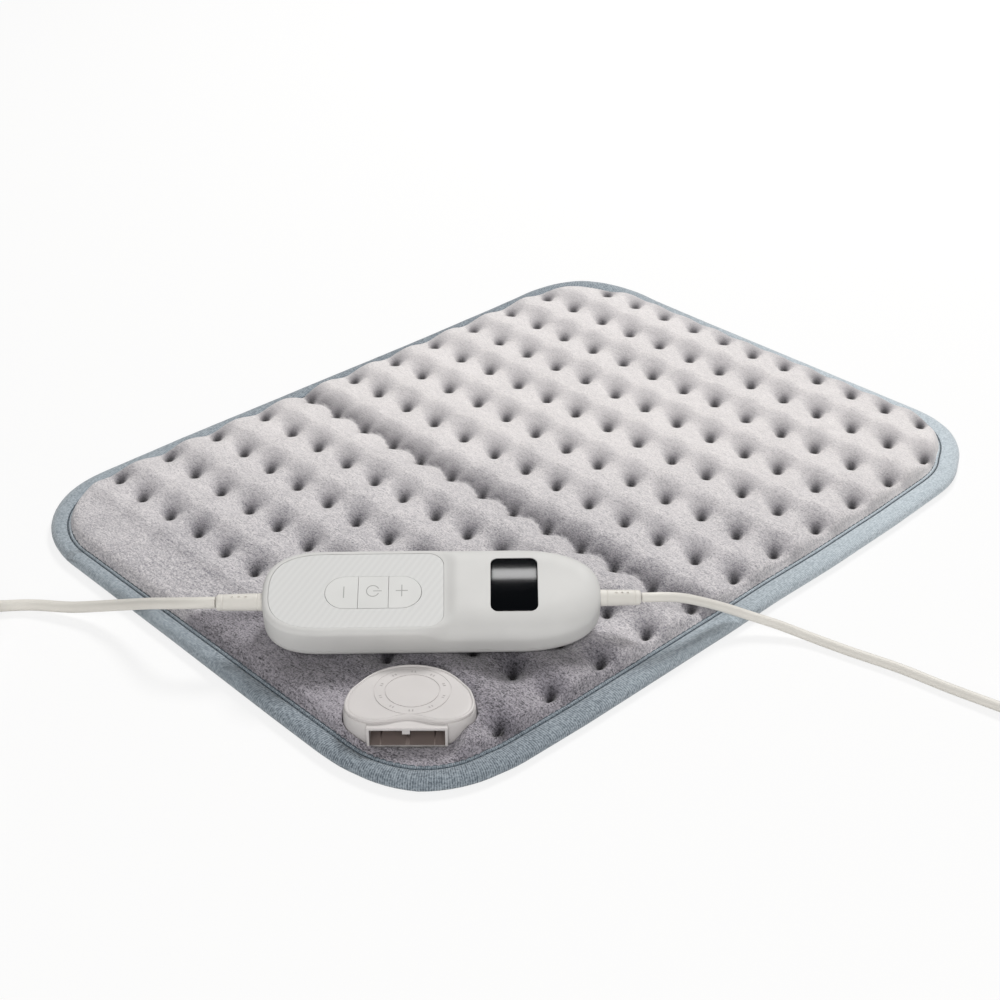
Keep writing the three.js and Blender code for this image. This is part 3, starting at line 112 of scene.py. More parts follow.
def mixed(mat, share, first, second, blend="MIX"):
    inputs = {"Fac": share, "Color1": first, "Color2": second}
    return node(mat, "MixRGB", inputs, blend_type=blend).outputs["Color"]


def attribute(mat, name, output="Fac"):
    return node(mat, "Attribute", attribute_name=name).outputs[output]


def coordinates(mat, stretch=(1, 1, 1), turn=0.0):
    inputs = {"Vector": node(mat, "TexCoord").outputs["Object"], "Scale": stretch, "Rotation": (0, 0, turn)}
    return node(mat, "Mapping", inputs).outputs["Vector"]


def noise_texture(mat, size, vector, detail=2.0, distortion=0.0):
    inputs = {"Scale": 1 / MM / size, "Detail": detail, "Distortion": distortion, "Vector": vector}
    return node(mat, "TexNoise", inputs).outputs["Fac"]


def wave_texture(mat, period, vector, distortion=0.0, direction="X"):
    """Parallel bands one period apart: the node's own bands are pi / 10 wide at scale 1."""
    inputs = {"Scale": pi / 10 / (period * MM), "Distortion": distortion, "Vector": vector}
    return node(mat, "TexWave", inputs, bands_direction=direction).outputs["Fac"]


def two_tones(mat, factor, dark, light, low=0.3, high=0.7):
    ramp = node(mat, "ValToRGB", {"Fac": factor})
    for element, place, colour in zip(ramp.color_ramp.elements, (low, high), (dark, light)):
        element.position = place
        element.color = (*colour, 1)
    return ramp.outputs["Color"]


def bump(mat, shader, height, depth, below=None):
    inputs = {"Distance": depth * MM, "Strength": 1.0, "Height": height}
    if below is not None:
        inputs["Normal"] = below
    normal = node(mat, "Bump", inputs).outputs["Normal"]
    link(mat, normal, shader.inputs["Normal"])
    return normal


def surface(mat, shader, colour, height, depth):
    link(mat, colour, shader.inputs["Base Color"])
    bump(mat, shader, height, depth)
    return mat


MOULD_GRAIN, MOULD_CLOUDS, MOULD_GLOSS = 0.35, 22, 9


def moulded(name, colour, rough, depth=0.02, **extra):
    """Moulded plastic: a fine spark-eroded grain and slightly uneven gloss."""
    mat, shader = principled(name, colour, rough, **extra)
    vector = coordinates(mat)
    gloss = node(mat, "MapRange", {
        "Value": noise_texture(mat, MOULD_GLOSS, vector, 3),
        "To Min": rough * 0.85, "To Max": min(rough * 1.2, 1),
    })
    link(mat, gloss.outputs["Result"], shader.inputs["Roughness"])
    tones = [[min(c * share, 1) for c in colour] for share in (0.96, 1.03)]
    clouds = two_tones(mat, noise_texture(mat, MOULD_CLOUDS, vector), *tones)
    return surface(mat, shader, clouds, noise_texture(mat, MOULD_GRAIN, vector, 1), depth)


def brushed_metal(name, colour, rough):
    mat, shader = principled(name, colour, rough, metallic=1.0)
    streaks = noise_texture(mat, 2.5, coordinates(mat, (1, 1, 12)), 3)
    return surface(mat, shader, two_tones(mat, streaks, [c * 0.8 for c in colour], colour), streaks, 0.02)


def woven(name, dark, light, thread, depth):
    """Cloth with crossing threads."""
    mat, shader = principled(name, light, 0.9, sheen=0.3, specular=0.2)
    vector = coordinates(mat)
    crossing = calc(mat, "MULTIPLY", *(wave_texture(mat, thread, vector, 1.5, way) for way in "XY"))
    mottled = calc(mat, "MULTIPLY_ADD", crossing, 0.6, noise_texture(mat, 1.3, vector, 3))
    return surface(mat, shader, two_tones(mat, mottled, dark, light, 0.3, 0.9), mottled, depth)


RIB_PITCH = 1.05


def binding_cloth(name, tones, lit_tones):
    """Soft tape with fine ribs across it, in two pairs of tones: a point attribute of painted light mixes in
    the paler second pair.
    """
    mat, shader = principled(name, tones[1], 0.9, sheen=0.3, specular=0.15)
    along = node(mat, "CombineXYZ", {"X": attribute(mat, "edge_run")}).outputs["Vector"]
    grain = noise_texture(mat, 0.9, coordinates(mat), 3)
    relief = calc(mat, "MULTIPLY_ADD", wave_texture(mat, RIB_PITCH, along), 0.22, grain)
    looks = [two_tones(mat, relief, *pair, 0.42, 0.80) for pair in (tones, lit_tones)]
    return surface(mat, shader, mixed(mat, attribute(mat, "tape_painted_light"), *looks), relief, 0.3)


def plush(name, root, tip, smooth, lifted_tip):
    """Short napped pile: tips over a darker root and evener where it is unruffled, multiplied by a colour
    attribute of painted shade: dark pit crescents, grey slopes and a painted shadow in front of the
    controller.
    """
    mat, shader = principled(name, tip, 0.95, sheen=0.3, specular=0.12)
    vector = coordinates(mat)
    height = 0
    for texture, weight in (
        (noise_texture(mat, 0.75, vector, 2, 0.6), 0.5),
        (noise_texture(mat, 1.2, coordinates(mat, (1, 0.34, 1), 0.75), 3, 1.5), 0.42),
        (noise_texture(mat, 30, vector, 1), 0.12),
    ):
        height = calc(mat, "MULTIPLY_ADD", texture, weight, height)
    fibres = two_tones(mat, height, root, tip, 0.36, 0.60)
    strong = two_tones(mat, height, [c * 0.16 for c in root], lifted_tip, 0.38, 0.60)
    # More fibres and so a darker colour towards the left: partly ruffled pile, partly painted light falloff
    even = mixed(mat, attribute(mat, "pile_ruffle_and_falloff"), (*smooth, 1), fibres)
    # Where the painted shadow lies in front of the controller: high-contrast strokes with near-black roots,
    # partly stroke texture, partly painted shadow
    ruffled = mixed(mat, attribute(mat, "pile_strokes_in_shadow"), even, strong)
    # Painted shade and painted shadow, multiplied into the pile's colour
    shaded = mixed(mat, 1, ruffled, attribute(mat, "pile_painted_shade", "Color"), "MULTIPLY")
    return surface(mat, shader, shaded, height, 1.0)


def ridged_panel(name, colour, dark, light):
    """Fine slanting ridges over the moulded grain."""
    mat, shader = principled(name, colour, 0.55, specular=0.3)
    ridges = wave_texture(mat, 2.5, coordinates(mat, turn=radians(74)), 1.2)
    link(mat, two_tones(mat, ridges, dark, light, 0, 1), shader.inputs["Base Color"])
    first = bump(mat, shader, ridges, 0.02)
    bump(mat, shader, noise_texture(mat, 0.4, coordinates(mat), 1), 0.02, below=first)
    return mat


PLUSH = plush("plush_pile", (0.25, 0.245, 0.285), (0.84, 0.81, 0.83), (0.90, 0.865, 0.85), (0.95, 0.89, 0.96))
# The second pair of tones is the tape's painted light
TAPE = binding_cloth(
    "binding_tape", ((0.10, 0.125, 0.15), (0.335, 0.385, 0.43)), ((0.42, 0.49, 0.54), (0.66, 0.73, 0.78)),
)
# Near-black painted shade for the faces in the tape's sunk seams
SEAM_SHADE, _ = principled("sunk_seam_shade", (0.045, 0.06, 0.075), 0.9, sheen=0.2, specular=0.1)
THREAD, _ = principled("stitch_thread", (0.075, 0.105, 0.13), 0.7, sheen=0.2)
BACKING = woven("back_cloth", (0.40, 0.39, 0.42), (0.58, 0.57, 0.60), 1.1, 0.15)
SHELL = moulded("controller_shell", (0.645, 0.645, 0.635), 0.55, specular=0.35)
PANEL = ridged_panel("panel_ridges", (0.66, 0.665, 0.66), (0.648, 0.653, 0.648), (0.68, 0.685, 0.68))
BUTTON = moulded("button_cap", (0.675, 0.68, 0.67), 0.55, specular=0.3)
SOCKET = moulded("socket_plastic", (0.62, 0.597, 0.59), 0.5, depth=0.01, specular=0.35)
DARK_PLASTIC = moulded("switch_plastic", (0.02, 0.022, 0.025), 0.5)
BLOCK = moulded("contact_block", (0.235, 0.19, 0.175), 0.55)
CORD = moulded("cord_sheath", (0.72, 0.70, 0.655), 0.5, specular=0.4)
ICON, _ = principled("printed_mark", (0.36, 0.36, 0.355), 0.6)
TICK, _ = principled("moulded_tick", (0.42, 0.40, 0.395), 0.6)
GLASS, _ = principled("display_glass", (0.0008, 0.0013, 0.0022), 0.03, specular=0.09)
BRASS = brushed_metal("contact_brass", (0.80, 0.62, 0.30), 0.3)
STEEL = brushed_metal("bright_steel", (0.72, 0.72, 0.73), 0.25)
FELT = woven("felt", (0.62, 0.60, 0.56), (0.78, 0.77, 0.74), 2.4, 0.2)
WIRE = moulded("wire_sheath", (0.50, 0.10, 0.07), 0.5)
BOARD = moulded("board_laminate", (0.03, 0.16, 0.06), 0.4)
STRAP = woven("tie_strap", (0.025, 0.027, 0.03), (0.06, 0.063, 0.067), 0.8, 0.12)
SLEEVE = moulded("pin_sleeve", (0.03, 0.03, 0.032), 0.4)

# Mesh helpers. A form is a pair of points and faces.
WIDE_FACE = 30.0
BEVEL_ANGLE = radians(40)


def piece(name, form, mat, slot, replaced=(), body=ROOT, smooth=True):
    mesh = bpy.data.meshes.new(name)
    mesh.from_pydata([tuple(c * MM for c in p) for p in form[0]], [], form[1])
    mesh.validate()
    obj = placed(name, mesh)
    mesh.materials.append(mat)
    bm = bmesh.new()
    bm.from_mesh(mesh)
    bmesh.ops.recalc_face_normals(bm, faces=bm.faces)
    bm.to_mesh(mesh)
    bm.free()
    if smooth:
        smooth_by_angle(obj)
    if slot:
        declare(obj, replaced, body)
    return obj


def declare(obj, replaced=(), body=ROOT):
    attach(obj, body)
    if replaced:
        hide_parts(*replaced)


def smooth_by_angle(obj, degrees=35):
    """Smooth shading, apart from sharp edges and wide flat faces."""
    mesh = obj.data
    mesh.shade_smooth()
    mesh.set_sharp_from_angle(angle=radians(degrees))
    for face in mesh.polygons:
        if face.area > WIDE_FACE * MM * MM:
            face.use_smooth = False


def modified(obj, kind, **settings):
    """Applies one modifier to the object's mesh."""
    modifier = obj.modifiers.new(kind.lower(), kind)
    for key, value in settings.items():
        setattr(modifier, key, value)
    graph = bpy.context.evaluated_depsgraph_get()
    mesh = bpy.data.meshes.new_from_object(obj.evaluated_get(graph), depsgraph=graph)
    old = obj.data
    obj.modifiers.clear()
    obj.data = mesh
    bpy.data.meshes.remove(old)


def scratch(form):
    return piece("scratch", form, SHELL, None, smooth=False)


def carve(obj, cutters, operation="DIFFERENCE"):
    """Cuts each form or scratch piece out of the object, or joins it on."""
    for cutter in cutters:
        if isinstance(cutter, tuple):
            cutter = scratch(cutter)
        modified(obj, "BOOLEAN", operation=operation, solver="EXACT", object=cutter)
        bpy.data.objects.remove(cutter)


def bevel(obj, width, segments=2):
    modified(obj, "BEVEL", width=width * MM, segments=segments, angle_limit=BEVEL_ANGLE)
    smooth_by_angle(obj)


def ringed(rings, closed=False):
    """A form of quads between neighbouring rings, and from the last to the first where it is closed."""
    count, levels = len(rings[0]), len(rings)
    faces = []
    for level in range(levels if closed else levels - 1):
        here, after = level * count, (level + 1) % levels * count
        for k in range(count):
            n = (k + 1) % count
            faces.append((here + k, here + n, after + n, after + k))
    return [p for ring in rings for p in ring], faces


def stacked(rings):
    """The form through rings, with its two ends as single faces."""
    points, faces = ringed(rings)
    count = len(rings[0])
    return points, faces + [tuple(reversed(range(count))), tuple(range(len(points) - count, len(points)))]


def merged(forms):
    points, faces = [], []
    for more, its_faces in forms:
        faces += [tuple(len(points) + k for k in face) for face in its_faces]
        points += more
    return points, faces


def moved(form, matrix):
    return [tuple(matrix @ Vector(p)) for p in form[0]], form[1]


def flat(outline, z):
    return [(x, y, z) for x, y in outline]


def prism(outline, z0, z1):
    return stacked([flat(outline, z0), flat(outline, z1)])


def box_form(x0, x1, y0, y1, z0, z1):
    return prism([(x0, y0), (x1, y0), (x1, y1), (x0, y1)], z0, z1)


def arc(x, y, radius, angles, high=None):
    """Points at the angles of a circle, or of an ellipse with its own half height."""
    return [(x + radius * cos(a), y + (high or radius) * sin(a)) for a in angles]


def circle(x, y, radius, sides):
    return arc(x, y, radius, np.arange(sides) * 2 * pi / sides)


def lathe(profile, sides=40):
    """A turned form round the x axis, from (x, radius) pairs."""
    return stacked([[(x, *p) for p in circle(0, 0, radius, sides)] for x, radius in profile])


def rounded_rectangle(x, y, length, width, radius, steps=8):
    outline = []
    for quarter, (sx, sy) in enumerate(((1, 1), (-1, 1), (-1, -1), (1, -1))):
        angles = (quarter + np.arange(steps + 1) / steps) * pi / 2
        outline += arc(x + sx * (length / 2 - radius), y + sy * (width / 2 - radius), radius, angles)
    return outline


def powered(value, power):
    return copysign(abs(value) ** power, value)


def smoothstep(low, high, value):
    share = min(max((value - low) / (high - low), 0), 1)
    return share * share * (3 - 2 * share)


def eased(values):
    share = np.clip(values, 0, 1)
    return share * share * (3 - 2 * share)


def blend(u, low, high, a, b):
    return a + (b - a) * (u - low) / (high - low)


def catmull(points, spacing):
    """Points along a centripetal curve through the given ones."""
    pts = [np.array(p, float) for p in points]
    pts = [2 * pts[0] - pts[1], *pts, 2 * pts[-1] - pts[-2]]
    out = []
    for i in range(1, len(pts) - 2):
        near = pts[i - 1:i + 3]
        t = [0.0]
        for a, b in zip(near, near[1:]):
            t.append(t[-1] + max(np.linalg.norm(b - a), 1e-6) ** 0.5)
        steps = max(2, ceil(np.linalg.norm(near[2] - near[1]) / spacing))
        for step in range(steps):
            u = t[1] + (t[2] - t[1]) * step / steps
            first = [blend(u, t[k], t[k + 1], near[k], near[k + 1]) for k in range(3)]
            second = [blend(u, t[k], t[k + 2], first[k], first[k + 1]) for k in range(2)]
            out.append(blend(u, t[1], t[2], *second))
    out.append(pts[-2])
    return out


def sweep(path, section):
    """A closed section, (side, up) pairs, swept along a path and kept level."""
    rings = []
    for i, point in enumerate(path):
        along = path[min(i + 1, len(path) - 1)] - path[max(i - 1, 0)]
        along = along / np.linalg.norm(along)
        side = np.cross((0, 0, 1), along)
        side = side / np.linalg.norm(side)
        up = np.cross(along, side)
        rings.append([tuple(point + side * a + up * b) for a, b in section])
    return stacked(rings)


# Controller placement
CONTROLLER_AT = (-117.76, -64.7, 13.8)
CONTROLLER = (
    Matrix.Translation(CONTROLLER_AT) @ Matrix.Rotation(radians(-42.86), 4, "Z")
    @ Matrix.Rotation(radians(15), 4, "X")
)
LENGTHWISE = (0.733, -0.680)
HALF, TOP, EXIT_Z = 70.0, 20.0, 13.0
MAINS_RELIEF, LEAD_RELIEF = 20.5, 17.0
GAP = 0.3

# Cords: the same routes, coils and tails as the solids
MAINS_DIAMETER, LEAD_DIAMETER = 5.0, 4.2
CLEARANCE = 0.6
TIE = 0.9
PLUG_Z, CONNECTOR_Z = 6.85, 6.2
MAINS_COIL = dict(x=-289.76, y=81.0, start=radians(52.4), turns=8.354, layers=4, mean=30, d=MAINS_DIAMETER)
LEAD_COIL = dict(x=48.44, y=-276.5, start=radians(189.3), turns=4.349, layers=2, mean=23.1, d=LEAD_DIAMETER)
MAINS_ROUTE = (
    (-192.6, 0.5, 26.1), (-196, 6.7, 24.5), (-198.5, 14.6, 21.6), (-200.5, 23.4, 18), (-202.9, 32.7, 14),
    (-206.5, 42.5, 10.2), (-211, 51.9, 7), (-217, 61.3, 4.7), (-228.3, 77.9, 3), (-239.3, 86.8, 3.2),
    (-251.3, 96.3, 3.6),
)
LEAD_ROUTE = (
    (-49.4, -131.8, 26), (-44.2, -134.6, 24.7), (-38.4, -137.1, 22.3), (-32.7, -139.1, 19.2),
    (-27.2, -140.9, 16), (-22.1, -143, 13), (-17.3, -146.5, 10.3), (-13.2, -150.5, 8.1),
    (-5.6, -162.2, 4.9), (-0.5, -174.5, 2.8), (3.9, -192.2, 2.3), (9.3, -213.6, 2.3),
    (12.8, -235.6, 2.4), (16.6, -257.2, 2.9),
)
TAIL_SHARES = (0, 0.12, 0.35, 0.5, 0.65, 0.88, 1)
CORD_SPACING = 2.0


def coil_points(coil):
    """The coil's middle line, wound inwards and outwards in turn, with one diameter of lead at each end."""
    pitch = coil["d"] + CLEARANCE
    layer_turns = coil["turns"] / coil["layers"]
    inner = coil["mean"] - layer_turns * pitch / 2
    steps = round(coil["turns"] * 36)
    points = []
    for step in range(steps + 1):
        turn = step / steps * coil["turns"]
        phase = turn / layer_turns
        layer = floor(min(phase, coil["layers"] - 1e-9))
        within = phase - layer
        radius = inner + pitch * layer_turns * (1 - within if layer % 2 == 0 else within)
        climbs = (climb * layer_turns for climb in range(1, coil["layers"]))
        rise = sum(smoothstep(climb - 0.25, climb + 0.25, turn) for climb in climbs)
        plan = arc(coil["x"], coil["y"], radius, [coil["start"] + turn * 2 * pi])[0]
        points.append(np.array((*plan, TIE + GAP + coil["d"] / 2 + rise * pitch)))
    last = coil["start"] + coil["turns"] * 2 * pi
    start = np.array((sin(coil["start"]), -cos(coil["start"]), 0))
    end = np.array((-sin(last), cos(last), 0))
    return [points[0] + start * coil["d"], *points, points[-1] + end * coil["d"]]


def whole_cord(coil, exit_along, route, tail_length, end_z):
    """(path, tail): from the controller along the route and through the coil to the far end."""
    coiled = coil_points(coil)
    beyond = exit_along + copysign(coil["d"], exit_along)
    first = [np.array(CONTROLLER @ Vector((along, 0, EXIT_Z))) for along in (exit_along, beyond)]
    run = catmull([*first, *route, coiled[0]], CORD_SPACING)
    along = coiled[-1] - coiled[-2]
    along = along / np.linalg.norm(along)
    tail = []
    for share in TAIL_SHARES:
        point = coiled[-1] + along * (GAP + tail_length * share)
        drop = smoothstep(TAIL_SHARES[1], TAIL_SHARES[5], share)
        point[2] = coiled[-1][2] + (end_z - coiled[-1][2]) * drop
        tail.append(point)
    return run + coiled[1:] + catmull(tail, CORD_SPACING)[1:], tail


def cord_section(diameter, sides=36):
    """Two cores side by side in one sheath: round, with a shallow groove along both faces."""
    section = []
    for a in np.arange(sides) * 2 * pi / sides:
        groove = 0.13 * exp(-((abs(sin(a)) - 1) / 0.035) ** 2)
        section += arc(0, 0, diameter / 2 * (1 - groove), [a])
    return section


def end_matrix(tail):
    along = tail[-1] - tail[0]
    turn = atan2(along[1], along[0])
    start = Vector(tail[-1]) + Vector((cos(turn), sin(turn), 0)) * GAP
    return Matrix.Translation(start) @ Matrix.Rotation(turn, 4, "Z")


mains_path, mains_tail = whole_cord(MAINS_COIL, -(HALF + MAINS_RELIEF + GAP), MAINS_ROUTE, 44, PLUG_Z)
lead_path, lead_tail = whole_cord(LEAD_COIL, HALF + LEAD_RELIEF + GAP, LEAD_ROUTE, 30, CONNECTOR_Z)
mains = piece(
    "mains_cord_sheath", sweep(mains_path, cord_section(MAINS_DIAMETER)), CORD, "cord_sheath",
    ("mains_cord", "mains_coil", "mains_cord_tail"),
)
lead = piece(
    "pad_lead_sheath", sweep(lead_path, cord_section(LEAD_DIAMETER)), CORD, "cord_sheath",
    ("pad_lead", "pad_lead_coil", "pad_lead_tail"),
)

# Plug and connector: (share of the length, of the width, of the height, power of the superellipse)
PLUG_SHARES = (
    (0, 0.03, 0.15, 2), (0.26, 0.08, 0.4, 2), (0.32, 0.16, 0.55, 2.2), (0.42, 0.45, 0.8, 2.6),
    (0.52, 0.66, 0.95, 3), (0.64, 0.62, 0.94, 3.2), (0.8, 0.92, 1, 4), (0.97, 1, 1, 4.5), (1, 0.95, 0.9, 4.5),
)
CONNECTOR_SHARES = (
    (0, 0.05, 0.2, 2), (0.34, 0.1, 0.5, 2), (0.4, 0.22, 0.65, 2.2), (0.5, 0.62, 0.86, 2.6),
    (0.62, 0.9, 0.97, 3.2), (0.78, 1, 1, 4), (0.96, 1, 1, 4), (1, 0.95, 0.92, 4),
)
SHARE_SPACING = 0.012
RIB_DEPTH, RIB_PERIOD, RIBS_FROM = 0.28, 3.2, 0.05
PLUG_LENGTH, PLUG_HALF_WIDTH = 48, 17.65
PIN_LENGTH, PIN_SPACING, PIN_RADIUS, PIN_ROOT = 19, 18.6, 2, 5.7


def superellipse_ring(x, b, c, power, sides=48):
    angles = 2 * pi * (np.arange(sides) + 0.5) / sides
    return [(x, b * powered(cos(a), 2 / power), c * powered(sin(a), 2 / power)) for a in angles]


def moulded_form(length, half_width, half_height, cord_radius, shares, ribs):
    """A smooth loft through the shares of the solid, with ribs along its flexible part."""
    rings = []
    for along, wide, high, power in catmull(shares, SHARE_SPACING):
        ribbed = max(0, sin(along * length * 2 * pi / RIB_PERIOD)) if RIBS_FROM < along < ribs else 0
        across, up = (
            cord_radius + (half - cord_radius) * share - RIB_DEPTH * ribbed
            for half, share in ((half_width, wide), (half_height, high))
        )
        rings.append(superellipse_ring(length * along, across, up, max(power, 2)))
    return stacked(rings)


def make_plug():
    place = end_matrix(mains_tail)
    form = moulded_form(PLUG_LENGTH, PLUG_HALF_WIDTH, PLUG_Z, MAINS_DIAMETER / 2, PLUG_SHARES, 0.3)
    body = piece("plug_moulding", moved(form, place), CORD, "cord_sheath", ("plug_body",))
    made, bores = [body], []
    root, tip = PLUG_LENGTH - PIN_ROOT, PLUG_LENGTH + PIN_LENGTH
    metal = [(root, 1.4), (tip - 9.2, 1.4), (tip - 9, PIN_RADIUS), (tip - PIN_RADIUS, PIN_RADIUS)]
    metal += arc(tip - PIN_RADIUS, 0, PIN_RADIUS, pi / 2 - np.linspace(0.1, 1.45, 9))
    sleeve = [(root, 1.45), (root, 1.9), (tip - 9.4, 1.9), (tip - 9.4, 1.45)]
    for number, side in ((1, -1), (2, 1)):
        shift = place @ Matrix.Translation((0, side * PIN_SPACING / 2, 0))
        bores.append(moved(lathe([(PLUG_LENGTH - 6, 2.3), (PLUG_LENGTH + 6, 2.3)], 32), shift))
        made.append(piece(
            f"plug_pin_metal_{number}", moved(lathe(metal), shift), STEEL, "steel", (f"plug_pin_{number}",),
        ))
        made.append(piece(f"plug_pin_sleeve_{number}", moved(lathe(sleeve), shift), SLEEVE, "switch_plastic"))
    carve(body, bores)
    smooth_by_angle(body)
    return made


# The socket's slot and its chambers: (place across, width, contact's width)
SLOT_WIDTH, SLOT_HEIGHT = 29.6, 8.4
BLOCK_WIDTH = SLOT_WIDTH - 2 * GAP
CHAMBER_RIB, CHAMBER_WALL, NARROW = 3.6, 0.8, 3.2
WIDE = (BLOCK_WIDTH - CHAMBER_RIB - 4 * CHAMBER_WALL - 2 * NARROW) / 2
CHAMBERS = sorted(
    chamber for s in (-1, 1) for chamber in (
        (s * (CHAMBER_RIB / 2 + WIDE / 2), WIDE, 4.0),
        (s * (CHAMBER_RIB / 2 + WIDE + CHAMBER_WALL + NARROW / 2), NARROW, 1.8),
    )
)
CONNECTOR_LENGTH, CONNECTOR_HALF_WIDTH, NOSE_LENGTH = 40, 17, 9
GRIP_GROOVES = dict(count=5, first=26, pitch=2.4, width=1.1, half=11, floor=5.95)


def make_connector():
    place = end_matrix(lead_tail)
    form = moulded_form(
        CONNECTOR_LENGTH, CONNECTOR_HALF_WIDTH, CONNECTOR_Z, LEAD_DIAMETER / 2, CONNECTOR_SHARES, 0.36,
    )
    body = piece("connector_moulding", moved(form, place), SOCKET, "socket_plastic", ("connector_body",))
    tip = CONNECTOR_LENGTH + NOSE_LENGTH
    half_w, half_h = SLOT_WIDTH / 2 - 0.5, SLOT_HEIGHT / 2 - 0.5
    nose = scratch(moved(box_form(CONNECTOR_LENGTH - 2, tip, -half_w, half_w, -half_h, half_h), place))
    bevel(nose, 0.6)
    carve(body, [nose], "UNION")
    boxes = [(tip - 3.5, tip + 2, -1.85, 1.85, half_h - 1.4, half_h + 2)]
    for y, _, contact in CHAMBERS:
        boxes.append((tip - 4, tip + 2, y - contact / 2 - GAP, y + contact / 2 + GAP, -1.8, -0.4))
    g = GRIP_GROOVES
    for x in g["first"] + np.arange(g["count"]) * g["pitch"]:
        for z0, z1 in ((g["floor"], 8), (-8, -g["floor"])):
            boxes.append((x, x + g["width"], -g["half"], g["half"], z0, z1))
    carve(body, [moved(box_form(*box), place) for box in boxes])
    smooth_by_angle(body)
    return [body]


def make_tie(name, replaced, coil, angle):
    pitch = coil["d"] + CLEARANCE
    spread = coil["turns"] / coil["layers"] * pitch
    inner = coil["mean"] - spread / 2 - coil["d"] / 2 - 3 * GAP
    outer = coil["mean"] + spread / 2 + coil["d"] / 2 + 2 * GAP
    top = TIE + 2 * GAP + coil["d"] + (coil["layers"] - 1) * pitch
    middle = ((inner + outer) / 2, (TIE + top) / 2)
    loops = []
    for grow, radius, half in ((0, 2.1, 4.5), (0, 2.1, -4.5), (TIE, 3, -4.5), (TIE, 3, 4.5)):
        outline = rounded_rectangle(*middle, outer - inner + 2 * grow, top - TIE + 2 * grow, radius, 6)
        loops.append([(x, half, z) for x, z in outline])
    place = Matrix.Translation((coil["x"], coil["y"], 0)) @ Matrix.Rotation(angle, 4, "Z")
    strap = piece(name, moved(ringed(loops, closed=True), place), STRAP, "tie_strap", (replaced,))
    bevel(strap, 0.2)
    return strap


plug_pieces = make_plug()
connector_pieces = make_connector()
mains_tie = make_tie("mains_tie_strap", "mains_cord_tie", MAINS_COIL, radians(260))
lead_tie = make_tie("pad_lead_tie_strap", "pad_lead_tie", LEAD_COIL, radians(60))

# The pad's outline, and how its edge lies, as (distance along the edge, shift inwards). The distance runs
# from the far end of the left side.
PAD_HALF = (200.0, 150.0)
CORNER = 56.0
QUARTER = CORNER * pi / 2
COVER_BOTTOM = 4.3
EDGE_SHIFT = (
    (0, 2.7), (80, 2.2), (150, 1.3), (180, 1.2), (200, 2.2), (228, 1.0), (264, 4.1), (310, 2.4),
    (400, 1.4), (432, 1.7), (470, 0.7), (520, 1.0), (560, 2.3), (592, 4.6), (612, 2.7), (628, 1.0),
    (645, 0.5), (780, 0), (835, -0.6), (884, -3), (925, 0), (1010, 0.8), (1168, -0.7), (1240, 0.2),
    (1290, 2.7), (1304, 2.7),
)
# Where the pile's rim follows that shift
WHOLE_EDGE_SHIFT = ((0, 0), (224, 0), (256, 1), (600, 1), (690, 0), (1304, 0))
EDGE_REACH = 24
CURLED_CORNER = dict(at=884, reach=30, rise=2.4)


def pad_loop(inset, z, steps=24):
    length, width = (2 * (half - inset) for half in PAD_HALF)
    return flat(rounded_rectangle(0, 0, length, width, CORNER - inset, steps), z)


def divided(corners, parts):
    """The closed outline with parts(number, length) equal parts on each of its edges."""
    loop = []
    for k, (a, b) in enumerate(zip(corners, corners[1:] + corners[:1])):
        count = parts(k, dist(a, b))
        loop += [tuple(p + (q - p) * s / count for p, q in zip(a, b)) for s in range(count)]
    return loop


def dense_loop(inset, z, spacing=2.0):
    """The pad's outline with points about one spacing apart."""
    return divided(pad_loop(inset, z), lambda _, length: max(1, round(length / spacing)))


def even_loop(inset, z):
    """The pad's outline with the same number of points whatever its inset."""
    return divided(pad_loop(inset, z, 20), lambda number, _: 60 if number % 21 == 20 else 1)


def edge_distance(x, y):
    """How far inside the pad's outline a point of the plan lies."""
    qx, qy = abs(x) - (PAD_HALF[0] - CORNER), abs(y) - (PAD_HALF[1] - CORNER)
    return CORNER - hypot(max(qx, 0), max(qy, 0)) - min(max(qx, qy), 0)


edge_distances = np.vectorize(edge_distance)


def edge_station(x, y):
    """(distance along the pad's edge, direction inwards) of a point near it."""
    ax, ay = (half - CORNER for half in PAD_HALF)
    front_end = 2 * ay + 2 * ax + QUARTER
    right_start, right_end = front_end + QUARTER, front_end + QUARTER + 2 * ay
    dx, dy = abs(x) - ax, abs(y) - ay
    if dx > 0 and dy > 0:
        turn = atan2(dy, dx)
        share = turn / (pi / 2)
        start = {
            (False, False): 2 * ay, (True, False): front_end,
            (True, True): right_end, (False, True): right_end + QUARTER + 2 * ax,
        }[x >= 0, y > 0]
        station = start + QUARTER * (share if (x >= 0) == (y > 0) else 1 - share)
        return station, (-copysign(cos(turn), x), -copysign(sin(turn), y))
    if dx >= dy:
        return (ay - y, (1, 0)) if x < 0 else (right_start + y + ay, (-1, 0))
    return (2 * ay + QUARTER + x + ax, (0, 1)) if y < 0 else (right_end + QUARTER + ax - x, (0, -1))


def laid(x, y, z):
    """A point of the pad moved to where its edge lies."""
    inset = edge_distance(x, y)
    if inset > EDGE_REACH:
        return x, y, z
    station, (nx, ny) = edge_station(x, y)
    shift, whole = (float(np.interp(station, *zip(*pairs))) for pairs in (EDGE_SHIFT, WHOLE_EDGE_SHIFT))
    outer = 1 - smoothstep(0.5, 8.0, inset)
    inner = 1 - smoothstep(10.5, 22, inset)
    move = shift * (outer + (inner - outer) * whole)
    curl = CURLED_CORNER["rise"] * exp(-((station - CURLED_CORNER["at"]) / CURLED_CORNER["reach"]) ** 2)
    return x + nx * move, y + ny * move, z + curl * (1 - smoothstep(3, 11, inset))


# Socket placement and plan
SOCKET_FORM = dict(at=(-157.15, -94.15), yaw=radians(-44), half=25.9, back=17.9, lobe=21.7, lobe_x=13.5)
SOCKET_PLACE = Matrix.Translation((*SOCKET_FORM["at"], 0)) @ Matrix.Rotation(SOCKET_FORM["yaw"], 4, "Z")
NOTCH = 1.3
FRAME_WALL = 1.1


